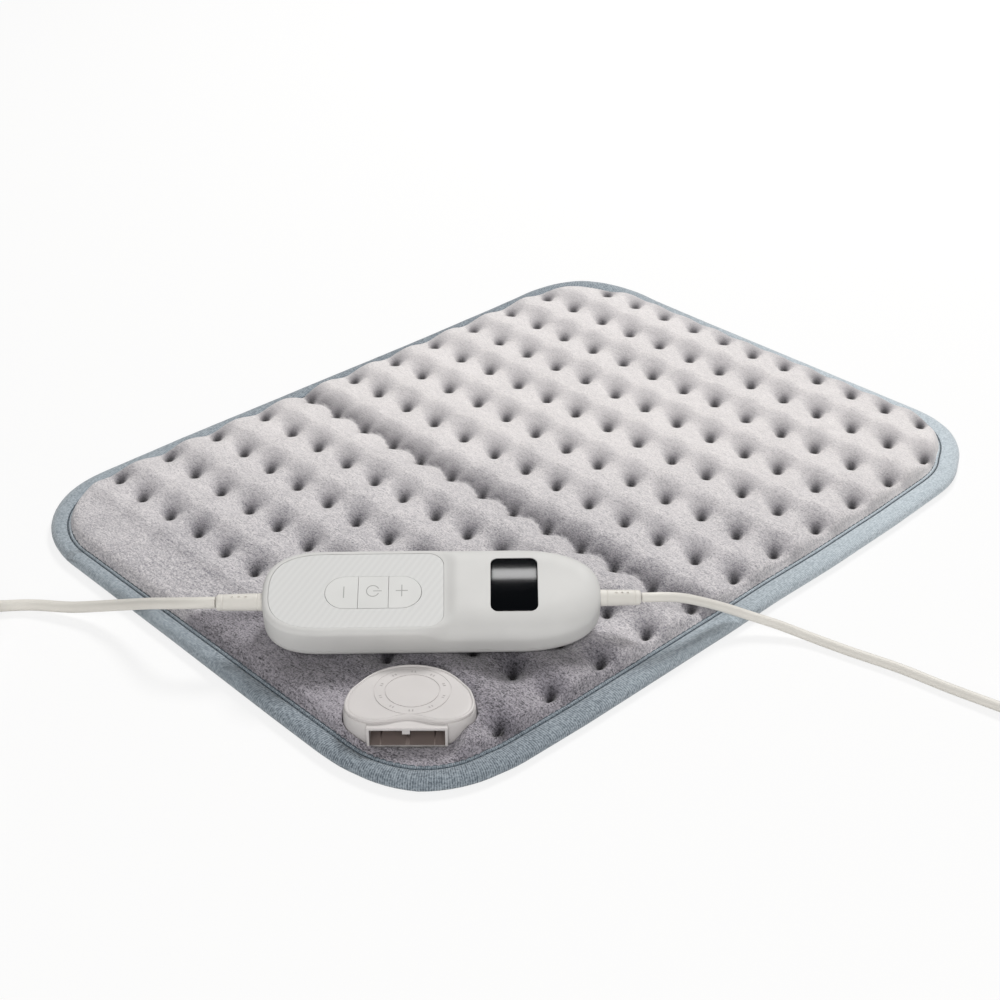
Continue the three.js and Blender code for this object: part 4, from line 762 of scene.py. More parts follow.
def bezier(p0, p1, p2, p3, steps):
    """The curve's points after its first one."""
    curve = []
    for t in np.arange(1, steps + 1) / steps:
        s = 1 - t
        weights = (s ** 3, 3 * s * s * t, 3 * s * t * t, t ** 3)
        curve.append(tuple(sum(w * c for w, c in zip(weights, axis)) for axis in zip(p0, p1, p2, p3)))
    return curve


def socket_plan(inset, notch, steps=20):
    """A round back, two lobes in front and a notch between them."""
    half = SOCKET_FORM["half"] - inset
    arc_y = SOCKET_FORM["back"] - SOCKET_FORM["half"]
    lobe_y, lx = inset - SOCKET_FORM["lobe"], SOCKET_FORM["lobe_x"]
    dip = pi / 18
    side_x, side_y = half * cos(dip), arc_y - half * sin(dip)
    reach, lobe_reach = (side_y - lobe_y) / 2, (side_x - lx) / 2
    low = lobe_y + notch
    back = arc(0, arc_y, half, np.linspace(-dip, pi + dip, 4 * steps + 1))
    shoulder = (-side_x + reach * sin(dip), side_y - reach)
    left = bezier((-side_x, side_y), shoulder, (-lx - lobe_reach, lobe_y), (-lx, lobe_y), steps)
    left += bezier((-lx, lobe_y), (-lx / 2, lobe_y), (-lx / 3, low), (0, low), steps)
    plan = back + left + [(-x, y) for x, y in reversed(left[:-1])]
    return [(x * socket_spread(y), y) for x, y in plan]


def socket_spread(y):
    """The housing is a little wider at its lobes and narrower towards its back."""
    lobes = 0.022 * (1 - smoothstep(-10, -1, y))
    shoulders = 0.045 * smoothstep(-1, 6, y) * (1 - smoothstep(9, 17, y))
    return 1 + lobes - shoulders


def nearest_on_loop(loop, x, y):
    """(signed distance, nearest point): positive outside the closed loop of (x, y) points."""
    point = np.array((x, y))
    ahead = np.roll(loop, -1, axis=0)
    along = ahead - loop
    t = np.clip(((point - loop) * along).sum(1) / (along * along).sum(1), 0, 1)
    near = loop + along * t[:, None]
    gaps = np.linalg.norm(near - point, axis=1)
    best = int(gaps.argmin())
    rise = np.where(along[:, 1] == 0, 1e-9, along[:, 1])
    left_of = x < loop[:, 0] + (y - loop[:, 1]) * along[:, 0] / rise
    crossing = ((loop[:, 1] > y) != (ahead[:, 1] > y)) & left_of
    return (-gaps[best] if crossing.sum() % 2 == 1 else gaps[best]), near[best]


def hole_plan():
    """The opening in the plush round the socket and its slot's frame, in the pad's plan."""
    half = SLOT_WIDTH / 2 + FRAME_WALL + 0.35
    front = -(SOCKET_FORM["lobe"] + NOTCH + 0.6 + 0.4)
    kept = [p for p in socket_plan(-0.45, -NOTCH) if not (abs(p[0]) < half and p[1] < -15)]
    ahead = kept[1:] + kept[:1]
    start = next(
        k for k, (p, q) in enumerate(zip(kept, ahead)) if p[0] < -half and p[1] < -12 and q[0] > half
    )
    loop = kept[:start + 1] + [(-half, front), (half, front)] + kept[start + 1:]
    return np.array([tuple(SOCKET_PLACE @ Vector((*p, 0)))[:2] for p in loop])


# Plush: its tufts stand in a grid, and one crease runs along a column
TUFTS = dict(columns=12, rows=13, dx=29.7, dy=21.8, x0=-147.3, y0=-130.0, crease=4)
TUFT_SEED = 5
PILE_STEP = 1.3
SNAP, HOLE_REACH = 1.5 * PILE_STEP, 40
PILE_RIM = 9.0
PILE_EDGE = 11.6
PILE_BASE, PILE_RISE, PIT_FLOOR = 4.5, 8.8, 4.6
PIT = dict(reach=3.3, power=1.15)
# (size across, seed, height) of the pile's lumps
PILE_LUMPS = ((15, 3.1, 0.45), (4.4, 7.7, 0.16), (1.9, 1.3, 0.1))
PRESS_GAP, PRESSED_LEVEL = 0.35, 13.9
# Where the pile is low before the socket's mouth, and where it is pressed, in their own plans
MOUTH_HALF, MOUTH_FROM, MOUTH_PILE = 24, -15, 5.7
SHELL_REACH, PRESSED_HALF, PRESSED_TO = 75, 82, 10


def by_the_controller(xs, ys):
    """(distance in front of the controller's middle line, distance along it)."""
    dx, dy = xs - CONTROLLER_AT[0], ys - CONTROLLER_AT[1]
    return dx * LENGTHWISE[1] - dy * LENGTHWISE[0], dx * LENGTHWISE[0] + dy * LENGTHWISE[1]


def tuft_places():
    """The grid's places, with small irregularities and the drift that the photograph shows."""
    noise.seed_set(TUFT_SEED)
    last = (TUFTS["columns"] - 1, TUFTS["rows"] - 1)
    places = []
    for column in range(TUFTS["columns"]):
        for row in range(TUFTS["rows"]):
            if column == last[0] and row in (0, last[1]):
                continue
            jog = noise.noise_vector(Vector((column * 3.1, row * 2.7, 0.5)))
            x = TUFTS["x0"] + column * TUFTS["dx"] + jog.x * 1.5
            y = TUFTS["y0"] + row * TUFTS["dy"] + jog.y * 1.2
            in_front, along = by_the_controller(x, y)
            aside = 0.6 + 2.6 * eased((in_front + 20) / 80)
            away = 1.1 * np.exp(-((along - 60) / 60) ** 2 - ((in_front + 10) / 50) ** 2)
            away -= 1.5 * eased(((x + y) * 0.7 - 60) / 90)
            places.append([c + aside * r + away * a for c, r, a in zip((x, y), RIGHTWARDS, AWAY)])
    return places


TUFT_PLACES = tuft_places()


def pit_shares(xs, ys, reach, power):
    """How much of each point belongs to a tuft: 1 at its middle, falling off over its reach."""
    shares = np.zeros_like(xs)
    for x, y in TUFT_PLACES:
        shares += np.exp(-(np.hypot((xs - x) / 1.08, ys - y) / reach) ** power)
    return np.minimum(shares, 1)


def pile_share(xs, ys):
    """The pile's crests and creases, as a share of its full height."""
    column, row = (xs - TUFTS["x0"]) / TUFTS["dx"], (ys - TUFTS["y0"]) / TUFTS["dy"]
    in_field = 1 / (1 + np.exp(-(xs - TUFTS["x0"] + 13) / 3))
    crest = 1 - in_field * (0.24 * np.cos(np.pi * column) ** 2 + 0.07 * np.cos(np.pi * row) ** 2)
    scallop = 2.4 * (0.5 - 0.5 * np.cos(2 * np.pi * row))
    from_crease = np.abs((column - TUFTS["crease"]) * TUFTS["dx"] - scallop)
    crest -= 0.42 * np.exp(-(from_crease / 3.4) ** 1.1)
    return crest * (1 - 0.30 * (1 - in_field))


def plush_height(xs, ys):
    """The pile's mean level over the plan, before anything presses on it."""
    overhang = 1.5 * eased((46 - np.minimum(PAD_HALF[1] - ys, PAD_HALF[0] - xs)) / 30)
    swell = 1 - np.exp(-np.maximum(edge_distances(xs, ys) - PILE_EDGE + overhang, 0) / 1.8)
    height = PILE_BASE + PILE_RISE * swell * pile_share(xs, ys)
    return height - np.maximum(height - PIT_FLOOR, 0) * pit_shares(xs, ys, **PIT)


def front_shadow_share(xs, ys):
    """Painted shadow in front of the controller and of its cords, where their shadow falls: 1 there, 0 behind
    them.
    """
    in_front, along = by_the_controller(xs, ys)
    first = -15 + 12 * eased((along + 72) / 40)
    width = 5 + 31 * eased((along + 45) / 120)
    return eased((in_front - first) / width) * (1 - 0.9 * np.clip((along - 35) / 90, 0, 1))


def left_falloff(xs, ys):
    """Share of painted light falloff: 0 at the pad's far right, 1 at its left and in front."""
    return eased((70 - xs * 0.8 - ys * 0.6) / 190)


def pile_painted_shade(xs, ys):
    """Pile colour over the plan, all painted shade: a dark crescent in each tuft's pit, cool grey on slopes
    that face away from the key light, a painted shadow in front of the controller and its cords, and a darker
    falloff towards the left.
    """
    # Painted shade: a dark crescent in each tuft's pit, just beyond its middle, where the pit lies in shade
    pit_shade = np.zeros_like(xs)
    for x, y in TUFT_PLACES:
        across = (xs - x) * AWAY[1] - (ys - y) * AWAY[0]
        away = (xs - x) * AWAY[0] + (ys - y) * AWAY[1]
        pit_shade = np.maximum(pit_shade, np.exp(-((across / 2.7) ** 2 + ((away - 0.2) / 1.5) ** 2) ** 1.6))
    in_front, along = by_the_controller(xs, ys)
    # Painted contact shadow along the controller's front side
    contact_shadow = np.exp(-((in_front - 26) / 12) ** 2) / (1 + np.exp((np.abs(along) - 66) / 6))
    left = left_falloff(xs, ys)
    # Painted shade: the pile is made grey where it rises towards the key light and so faces away from it; the
    # pits' reach for this grows towards the left
    near, far = (
        8.4 * pile_share(x, y) * (1 - pit_shares(x, y, 2.65 + 0.6 * left, 1.2))
        for x, y in ((xs + step * 0.80, ys + step * 0.60) for step in (-0.8, 0.8))
    )
    rise = np.clip(((far - near) / 1.6 - 0.05) / 0.9, 0, 1) ** 0.75
    front_shadow = front_shadow_share(xs, ys)
    # Painted shade on slopes, painted shadow in front of the controller, painted contact shadow and a painted
    # falloff towards the left
    grey = (1 - 0.84 * rise) * (1 - 0.43 * front_shadow) * (1 - 0.40 * contact_shadow) * (1 - 0.13 * left)
    # A deeper painted shadow under the mains cord beyond the controller's left end, and the painted pit
    # crescents
    grey *= (1 - 0.25 * eased((-60 - along) / 30) * front_shadow) * (1 - 0.97 * pit_shade)
    # Painted shade and painted shadow are tinted cool blue-grey
    cool = rise * 0.5 + 0.3 * front_shadow
    return [grey * (1 + share * cool) for share in (-0.05, -0.05, 0.08)]


def pile_grid():
    """(xs, ys, edge distance, kept): a grid that is snapped to the pad's rim and to the socket's opening."""
    counts = [int(2 * half / PILE_STEP) + 2 for half in PAD_HALF]
    xs, ys = np.meshgrid(*((np.arange(n) - (n - 1) / 2) * PILE_STEP for n in counts), indexing="ij")
    rim = np.array([p[:2] for p in dense_loop(PILE_RIM, 0)])
    hole = hole_plan()
    edge = edge_distances(xs, ys)
    keep = edge >= PILE_RIM - SNAP
    for spot in zip(*np.where(keep & (edge < PILE_RIM))):
        xs[spot], ys[spot] = nearest_on_loop(rim, xs[spot], ys[spot])[1]
    close = np.hypot(xs - SOCKET_FORM["at"][0], ys - SOCKET_FORM["at"][1]) < HOLE_REACH
    for spot in zip(*np.where(close & keep)):
        far, near = nearest_on_loop(hole, xs[spot], ys[spot])
        if far < -SNAP:
            keep[spot] = False
        elif far < 0:
            xs[spot], ys[spot] = near
    return xs, ys, edge, keep


FROM_CONTROLLER, FROM_SOCKET = CONTROLLER.inverted(), SOCKET_PLACE.inverted()


def settled(x, y, z, edge, shells):
    """The pile's level with its lumps, lower by the socket's mouth and pressed under the controller."""
    lumps = sum(high * noise.noise(Vector((x / size, y / size, seed))) for size, seed, high in PILE_LUMPS)
    z += smoothstep(9, 16, edge) * lumps
    local = FROM_SOCKET @ Vector((x, y, 0))
    if abs(local.x) < MOUTH_HALF and local.y < MOUTH_FROM:
        low = MOUTH_PILE + 0.3 * noise.noise(Vector((x / 2.1, y / 2.1, 0)))
        z = min(z, low + (z - low) * smoothstep(16, MOUTH_HALF, abs(local.x)))
    if max(abs(x - CONTROLLER_AT[0]), abs(y - CONTROLLER_AT[1])) < SHELL_REACH:
        for shell in shells:
            hit = shell.ray_cast(Vector((x, y, 0)) * MM, Vector((0, 0, 1)))[0]
            if hit is not None:
                z = min(z, hit.z / MM - PRESS_GAP)
    local = FROM_CONTROLLER @ Vector((x, y, z))
    if abs(local.x) < PRESSED_HALF and local.y < PRESSED_TO:
        z = min(z, PRESSED_LEVEL)
    return z


def close_underneath(mesh):
    """Cleans the pile's sheet and closes it with a skirt and a bottom."""
    bm = bmesh.new()
    bm.from_mesh(mesh)
    bmesh.ops.remove_doubles(bm, verts=bm.verts, dist=0.25 * MM)
    bmesh.ops.recalc_face_normals(bm, faces=bm.faces)
    if sum(f.normal.z for f in bm.faces) < 0:
        bmesh.ops.reverse_faces(bm, faces=bm.faces)
    bmesh.ops.delete(bm, geom=[v for v in bm.verts if not v.link_faces], context="VERTS")
    border = [e for e in bm.edges if e.is_boundary]
    for vert in bmesh.ops.extrude_edge_only(bm, edges=border)["geom"]:
        if isinstance(vert, bmesh.types.BMVert):
            by_socket = edge_distance(vert.co.x / MM, vert.co.y / MM) > 12
            vert.co.z = (COVER_BOTTOM + 0.05 if by_socket else 2.4) * MM
    bottom = [e for e in bm.edges if e.is_boundary]
    bmesh.ops.triangle_fill(bm, use_beauty=False, use_dissolve=False, edges=bottom)
    bmesh.ops.recalc_face_normals(bm, faces=bm.faces)
    bm.to_mesh(mesh)
    bm.free()


def make_plush():
    shells = []
    for name in ("controller_bottom_shell", "controller_top_shell"):
        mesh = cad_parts[name].data
        faces = [p.vertices[:] for p in mesh.polygons]
        shells.append(BVHTree.FromPolygons([v.co.copy() for v in mesh.vertices], faces))
    xs, ys, edge, keep = pile_grid()
    height = plush_height(xs, ys)
    points, index, faces = [], {}, []
    for spot in zip(*np.where(keep)):
        index[spot] = len(points)
        x, y = xs[spot], ys[spot]
        points.append(laid(x, y, settled(x, y, height[spot], edge[spot], shells)))
    for i, j in index:
        corners = ((i, j), (i + 1, j), (i + 1, j + 1), (i, j + 1))
        ids = tuple(index[c] for c in corners if c in index)
        if len(ids) == 4 and len({points[k][:2] for k in ids}) >= 3:
            faces.append(ids)
    mesh = bpy.data.meshes.new("plush_pile_top")
    mesh.from_pydata([tuple(c * MM for c in p) for p in points], [], faces)
    close_underneath(mesh)
    px, py = (np.array([v.co[:2] for v in mesh.vertices]) / MM).T
    # Colour attributes: painted shade, a share of painted light falloff, and where high-contrast strokes lie
    # in the painted shadow
    for name, values in (
        ("pile_painted_shade", pile_painted_shade(px, py)), ("pile_ruffle_and_falloff", [0.42 + 0.58 * left_falloff(px, py)] * 3),
        ("pile_strokes_in_shadow", [0.75 * front_shadow_share(px, py)] * 3),
    ):
        colours = mesh.color_attributes.new(name, "FLOAT_COLOR", "POINT")
        colours.data.foreach_set("color", np.stack([*values, np.ones_like(px)], 1).ravel())
    mesh.materials.append(PLUSH)
    obj = placed("plush_pile", mesh)
    mesh.shade_smooth()
    declare(obj, ("plush_cover",))


make_plush()

# Binding and back
BAND_HEIGHT, BAND, TAPE_THICKNESS, TAPE_REACH = 5.9, 4.6, 0.8, 12.2
RUFFLED_ABOVE, RUFFLE = 4.65, 0.12
# Rows of the section beyond this inset and between these levels are the sunk seams, which get painted shade
SUNK_BEYOND, SUNK_LEVELS = 9.2, (4.62, 5.22)
# (inset, height) of the tape's upper side: a flat, a sunk seam, a raised strip and a second sunk seam
SEAM_SECTION = (
    (6.4, 5.88), (8.0, 5.75), (8.8, 5.55), (9.3, 5.2), (9.55, 4.75), (9.85, 4.72), (10.05, 5.1),
    (10.3, 5.5), (10.6, 5.65), (10.95, 5.6), (11.2, 5.3), (11.4, 4.8), (11.6, 4.65), (11.8, 4.65),
    (12.0, 4.7), (12.2, 4.6), (12.2, 4.4),
)
# (inset, height, rise of its stitches) of each stitched seam: two above and one below
SEAMS = ((9.7, 5.0, 0.14), (11.6, 5.0, 0.14), (9.7, 0.12, -0.1))
STITCH = 4
# (share of its length, half width, rise) of a stitch
STITCH_SHAPE = ((0, 0.10, -0.12), (0.18, 0.26, 0.4), (0.5, 0.3, 1.0), (0.82, 0.26, 0.4), (1, 0.10, -0.12))
BACK_SECTION = ((11.6, 0.0), (11.1, 1.1), (3, 1.15), (3, 1.75), (11.1, 1.8), (11.8, 1.15))


def make_binding():
    """A tape folded round the edge: a rounded band, then a raised strip between two sunk seams."""
    middle = BAND_HEIGHT / 2
    section = [(TAPE_REACH, 0.02), (8, 0.0)]
    section += [
        (BAND - BAND * powered(cos(a), 0.9), middle + middle * powered(sin(a), 0.9))
        for a in np.linspace(-pi / 2, pi / 2, 21)
    ]
    section += SEAM_SECTION
    section += [(BAND, 4.6), (TAPE_THICKNESS + 0.4, middle)]
    section += [(inset, TAPE_THICKNESS) for inset in (BAND, TAPE_REACH)]
    points, faces = ringed([even_loop(inset, z) for inset, z in section], closed=True)
    ruffled = []
    for x, y, z in points:
        if z > RUFFLED_ABOVE:
            z += RUFFLE * noise.noise(Vector((x / 5, y / 5, 2.2)))
        ruffled.append(laid(x, y, z))
    mesh = piece("binding_tape", (ruffled, faces), TAPE, "tape", ("edge_binding",)).data
    mesh.materials.append(SEAM_SHADE)
    # The faces in the sunk seams get the painted shade
    low, high = SUNK_LEVELS
    sunk = {k for k, (inset, z) in enumerate(section) if inset > SUNK_BEYOND and low < z < high}
    count = len(points) // len(section)
    for face in mesh.polygons:
        if {v // count for v in face.vertices} <= sunk:
            face.material_index = 1
    # Painted light on the tape: paler towards the view's right, where the key light falls, and a little paler
    # at the far left
    right = np.array([x * RIGHTWARDS[0] + y * RIGHTWARDS[1] for x, y, _ in points])
    for name, values in (
        ("edge_run", [edge_station(x, y)[0] * MM for x, y, _ in points]),
        ("tape_painted_light", 0.9 * eased((right + 20) / 220) + 0.3 * eased((-70 - right) / 130)),
    ):
        mesh.attributes.new(name, "FLOAT", "POINT").data.foreach_set("value", values)


def make_stitches():
    """Lock stitches along the binding's two seams, above and below."""
    stitches = []
    for seam, z, lift in SEAMS:
        loop = [np.array(laid(*p)) for p in dense_loop(seam, z, 0.8)]
        for start in range(0, len(loop) - STITCH + 1, STITCH):
            along = (loop[(start + STITCH) % len(loop)] - loop[start]) * 0.9
            length = np.linalg.norm(along)
            if not 0.5 <= length <= 4:
                continue
            side = np.cross((0, 0, 1), along / length)
            rings = []
            for share, wide, rise in STITCH_SHAPE:
                centre = loop[start] + along * share + (0, 0, lift * rise)
                ring = [centre + side * across + (0, 0, up) for across, up in circle(0, 0, wide, 6)]
                rings.append([(px, py, max(pz, 0.0)) for px, py, pz in ring])
            stitches.append(stacked(rings))
    piece("seam_stitches", merged(stitches), THREAD, "tape")


def make_back():
    rings = [[laid(*p) for p in pad_loop(inset, z)] for inset, z in BACK_SECTION]
    cloth = piece("back_cloth", stacked(rings), BACKING, "backing", ("back_cover",))


make_binding()
make_stitches()
make_back()

# Controller plan: superellipse ends, blunt at -x and longer at +x
BLUNT, BLUNT_POWER, BLUNT_END = 27.5, 2.7, 70.9
TAPER, TAPER_POWER = 36.0, 2.3
HALF_WIDTH = 22.55
RIM = 2.7
END_STEPS, PLAN_SPACING = 26, 1.3
STEP_AT, STEP_RUN, DOME = 4.6, 5.5, 1.8
PANEL_RADIUS = 7.0
EDGE_ROUND = 2.4
# Levels: the shells' facing edges, the seats in the upper shell, the plates on them, and cutters' ends
LOWER_EDGE, UPPER_EDGE = 7.92, 8.08
PANEL_SEAT, WINDOW_SEAT = 19.1, 20.2
PANEL_PLATE, WINDOW_PLATE = (19.15, 19.92), (20.5, 21.62)
INSIDE, ABOVE = 10, 24
BELLY_INSET, BELLY_HEIGHT = 18, 7.3
TOP_INSETS = (0, 0.08, 0.25, 0.5, 0.85, 1.3, 1.8, 2.4, 3.2, 4.2, 5.5, 7, 9, 11, 13.5, 16, 18.5, 20.6)


def controller_plan(inset):
    half = HALF_WIDTH - inset
    taper_x, blunt_x = HALF - TAPER, -BLUNT_END + BLUNT
    turns = np.arange(END_STEPS)

    def end(angles, start, reach, power):
        return [
            (start + reach * powered(cos(a), 2 / power), half * abs(sin(a)) ** (2 / power)) for a in angles
        ]

    stations = int((taper_x - blunt_x) / PLAN_SPACING)
    upper = end(pi / 2 * (turns + 0.25) / (END_STEPS - 0.75), taper_x, TAPER - inset, TAPER_POWER)
    upper += [(taper_x + (blunt_x - taper_x) * step / stations, half) for step in range(1, stations)]
    upper += end(pi / 2 * (1 + turns / (END_STEPS - 0.75)), blunt_x, BLUNT - inset, BLUNT_POWER)
    return upper + [(x, -y) for x, y in reversed(upper)]


def dome_share(x, y):
    """0 on the button half and 1 on the display half; the step wraps round the panel's corners."""
    qx, qy = x - (STEP_AT - PANEL_RADIUS), abs(y) - (HALF_WIDTH - RIM - PANEL_RADIUS)
    far = hypot(max(qx, 0), max(qy, 0)) + min(max(qx, qy), 0) - PANEL_RADIUS
    return smoothstep(0, STEP_RUN, far) * smoothstep(-8, 3, x)


def rounding(inset, wide, high):
    """How far a rounded edge has dropped at an inset: by all of its height at the rim."""
    return high * (1 - sqrt(max(0, 1 - (1 - min(inset / wide, 1)) ** 2)))


def top_level(x, y, inset):
    level = TOP - rounding(inset, EDGE_ROUND, EDGE_ROUND)
    back = smoothstep(-14, 14, y)
    domed = TOP + DOME - rounding(inset, 13.0 - 4.8 * back, 8.6 - 4.0 * back)
    domed -= 0.0036 * max(abs(y) - 4, 0) ** 1.5
    return level + (domed - level) * dome_share(x, y)


def bridged(rings):
    """A form through rings of the controller's plan, its ends closed with strips across the plan."""
    points, faces = ringed(rings)
    count = len(rings[0])
    last = len(points) - count
    for k in range(count // 2 - 1):
        mirror = count - 1 - k
        faces.append((k, k + 1, mirror - 1, mirror))
        faces.append((last + k, last + mirror, last + mirror - 1, last + k + 1))
    return moved((points, faces), CONTROLLER)


def upper_form(low):
    rim = [(x, y, top_level(x, y, 0)) for x, y in controller_plan(0)]
    rings = [[(x, y, low + (z - low) * share) for x, y, z in rim] for share in (0, 0.35, 0.7)]
    return bridged(rings + [
        [(x, y, top_level(x, y, inset)) for x, y in controller_plan(inset)] for inset in TOP_INSETS
    ])


def lower_form(high):
    belly = [
        flat(controller_plan(BELLY_INSET * (1 - sin(a))), BELLY_HEIGHT * (1 - cos(a)))
        for a in np.linspace(0, pi / 2, 15)
    ]
    return bridged(belly + [flat(controller_plan(0), high)])


def panel_outline(inset):
    right, half, radius = STEP_AT - inset, HALF_WIDTH - RIM - inset, PANEL_RADIUS - inset
    outline = [p for p in controller_plan(RIM + inset) if p[0] < -20]
    outline += arc(right - radius, radius - half, radius, np.linspace(-pi / 2, 0, 12))
    return outline + arc(right - radius, half - radius, radius, np.linspace(0, pi / 2, 12))


KEYPAD = dict(x=-24.7, y=-1.2, length=39.6, width=16.6, power=12.6)
SEAM = 0.17
WINDOW = dict(x=33.7, y=1, length=19.4, width=28.2, radius=3.0, lean=0.018)


def keypad_outline(inset, x0=-99, x1=99):
    """A stadium cut to the stretch between x0 and x1."""
    radius = KEYPAD["width"] / 2 - inset
    reach = (KEYPAD["length"] - KEYPAD["width"]) / 2
    outline = []
    for start, side in ((pi / 2, -1), (-pi / 2, 1)):
        outline += arc(KEYPAD["x"] + side * reach, KEYPAD["y"], radius, np.linspace(start, start + pi, 25))
    cut = []
    for (ax, ay), (bx, by) in zip(outline, outline[1:] + outline[:1]):
        if x0 <= ax <= x1:
            cut.append((ax, ay))
        for limit in (x0, x1) if ax < bx else (x1, x0):
            if (ax - limit) * (bx - limit) < 0:
                cut.append((limit, ay + (by - ay) * (limit - ax) / (bx - ax)))
    return cut


def window_outline(grow):
    w = WINDOW
    length, width = w["length"] + 2 * grow, w["width"] + 2 * grow
    outline = rounded_rectangle(w["x"], w["y"], length, width, w["radius"] + grow)
    return [(x + w["lean"] * (y - w["y"]), y) for x, y in outline]


def plan_stack(levels):
    return stacked([flat(controller_plan(inset), z) for inset, z in levels])


def on_controller(forms):
    return [moved(form, CONTROLLER) for form in forms]


def make_controller():
    top = piece("controller_upper", upper_form(UPPER_EDGE), SHELL, "shell_plastic", ("controller_top_shell",))
    exits = [
        moved(lathe([(x0, radius), (x1, radius)]), Matrix.Translation((0, 0, EXIT_Z)))
        for x0, x1, radius in ((-90, -60, 4.0), (60, 90, 3.75))
    ]
    carve(top, on_controller([
        plan_stack(((2, 2), (2, 16.4), (4, 17.6), (8, 17.6))),
        prism(panel_outline(0), PANEL_SEAT, ABOVE),
        prism(keypad_outline(-GAP), INSIDE, ABOVE),
        prism(window_outline(0.15), WINDOW_SEAT, ABOVE),
        prism(window_outline(-0.9), INSIDE, ABOVE),
        *exits,
    ]))
    smooth_by_angle(top, 30)
    form = lower_form(LOWER_EDGE)
    lower = piece("controller_lower", form, SHELL, "shell_plastic", ("controller_bottom_shell",))
    points, faces = lathe([(-5, 2.8), (3.2, 2.8), (3.2, 1.5), (12, 1.5)], 32)
    wells = [
        ([(z + sx * 50, y + sy * 12.5, x) for x, y, z in points], faces) for sx in (-1, 1) for sy in (-1, 1)
    ]
    carve(lower, on_controller([plan_stack(((16, 2), (8, 4), (4, 7.3), (2, 10))), *wells]))
    smooth_by_angle(lower, 30)

    plate, glass, keypad = on_controller((
        prism(panel_outline(0.12), *PANEL_PLATE), prism(window_outline(0), *WINDOW_PLATE),
        prism(keypad_outline(-GAP), 15, ABOVE),
    ))
    panel = piece("button_panel", plate, PANEL, "panel_plastic", ("face_panel",))
    carve(panel, [keypad])
    bevel(panel, 0.16)
    screen = piece("display_glass", glass, GLASS, "window", ("display_window",))
    bevel(screen, 0.25, 3)


make_controller()


# Buttons, each with its mark, and the levels of their parts
CAP, FLANGE, STEM, MARK = (16.6, 19.98), (16.55, 17.25), (16.7, 17.1), (19.94, 20.02)


def make_button(name, x0, x1, strokes):
    body = f"{name}_button_body"
    form, flange, stem = on_controller((
        prism(keypad_outline(SEAM - GAP, x0, x1), *CAP),
        prism(keypad_outline(-0.9, x0, x1), *FLANGE),
        prism(circle((x0 + x1) / 2, KEYPAD["y"], 2, 24), *STEM),
    ))
    cap = piece(f"{name}_cap", form, BUTTON, "panel_plastic", (f"{name}_button",), body)
    carve(cap, [flange, stem], "UNION")
    bevel(cap, 0.13, 3)
    mark = moved(merged(prism(outline, *MARK) for outline in strokes), CONTROLLER)
    piece(f"{name}_mark", mark, ICON, "panel_plastic", (), body, smooth=False)


def bar(x, y, length, width):
    return [(x + sx * length / 2, y + sy * width / 2) for sx, sy in ((-1, -1), (1, -1), (1, 1), (-1, 1))]


def open_ring(x, y, radius, high, width, gap_angle):
    angles = np.linspace(gap_angle, 2 * pi - gap_angle, 40)
    outer = arc(x, y, radius + width / 2, angles, high + width / 2)
    return outer + arc(x, y, radius - width / 2, angles, high - width / 2)[::-1]


left, right = (KEYPAD["x"] + side * KEYPAD["length"] / 2 for side in (-1, 1))
power_left, power_right = (KEYPAD["x"] + side * KEYPAD["power"] / 2 for side in (-1, 1))
make_button("minus", left - 1, power_left - SEAM / 2, [bar(-36.9, -1.0, 0.4, 6.0)])
make_button("power", power_left + SEAM / 2, power_right - SEAM / 2, [
    open_ring(-24.9, -0.5, 2.6, 2.9, 0.36, radians(24)), bar(-23.0, -0.5, 3.5, 0.36),
])
make_button("plus", power_right + SEAM / 2, right + 1, [
    bar(-12.9, -0.45, 5.0, 0.38), bar(-12.9, 1.2, 0.38, 2.9), bar(-12.9, -2.1, 0.38, 2.9),
])

# Strain reliefs: a taper with two fine grooves, dimples and a round end
RELIEF_FLANGE, RELIEF_GROOVE, DIMPLE = 0.45, 0.18, 0.5


def make_relief(name, replaced, root, end, length, sign):
    profile = [(-5.3, root + RELIEF_FLANGE), (-3.1, root + RELIEF_FLANGE), (-3.1, root), (0.3, root)]
    for share in np.arange(61) / 60:
        groove = RELIEF_GROOVE if 0.14 < share < 0.16 or 0.90 < share < 0.92 else 0
        profile.append((0.4 + (length - 1.9) * share, root + (end - root) * share - groove))
    profile += [(length - 1.5 + 1.4 * sin(a), end - 1.3 + 1.3 * cos(a)) for a in np.linspace(0.2, 1.3, 6)]
    points, faces = lathe(profile)
    form = [(sign * (HALF + x), sign * y, z + EXIT_Z) for x, y, z in points], faces
    relief = piece(name, moved(form, CONTROLLER), CORD, "cord_sheath", (replaced,))
    dimples = []
    for x in (length * share for share in (0.38, 0.52, 0.66)):
        for side in (-1, 1):
            level = EXIT_Z + side * (root + (end - root) * x / length)
            dimples.append(prism(circle(sign * (HALF + x), 0, DIMPLE, 16), level - DIMPLE, level + DIMPLE))
    carve(relief, on_controller(dimples))
    smooth_by_angle(relief)


make_relief("mains_relief_sleeve", "mains_strain_relief", 3.75, 3.45, MAINS_RELIEF, -1)
make_relief("lead_relief_sleeve", "lead_strain_relief", 3.5, 3.2, LEAD_RELIEF, 1)

# Socket
FRONT_HEIGHT = 16.3
SOCKET_TILT = tan(radians(2.9))
HOUSING_BOTTOM = 4.3
MOUTH_Y = -23.0
BLOCK_Y = MOUTH_Y + 9.0
BLOCK_DEPTH = 9.5
SLOT_BOTTOM, SLOT_TOP = 5.1, 13.5
SLOT_AT = -0.5
DIAL = (0.8, -1.0)
DIAL_RINGS, TICK_RADIUS, DIAL_LEVEL = (10.9, 15.4), 13.1, -0.06
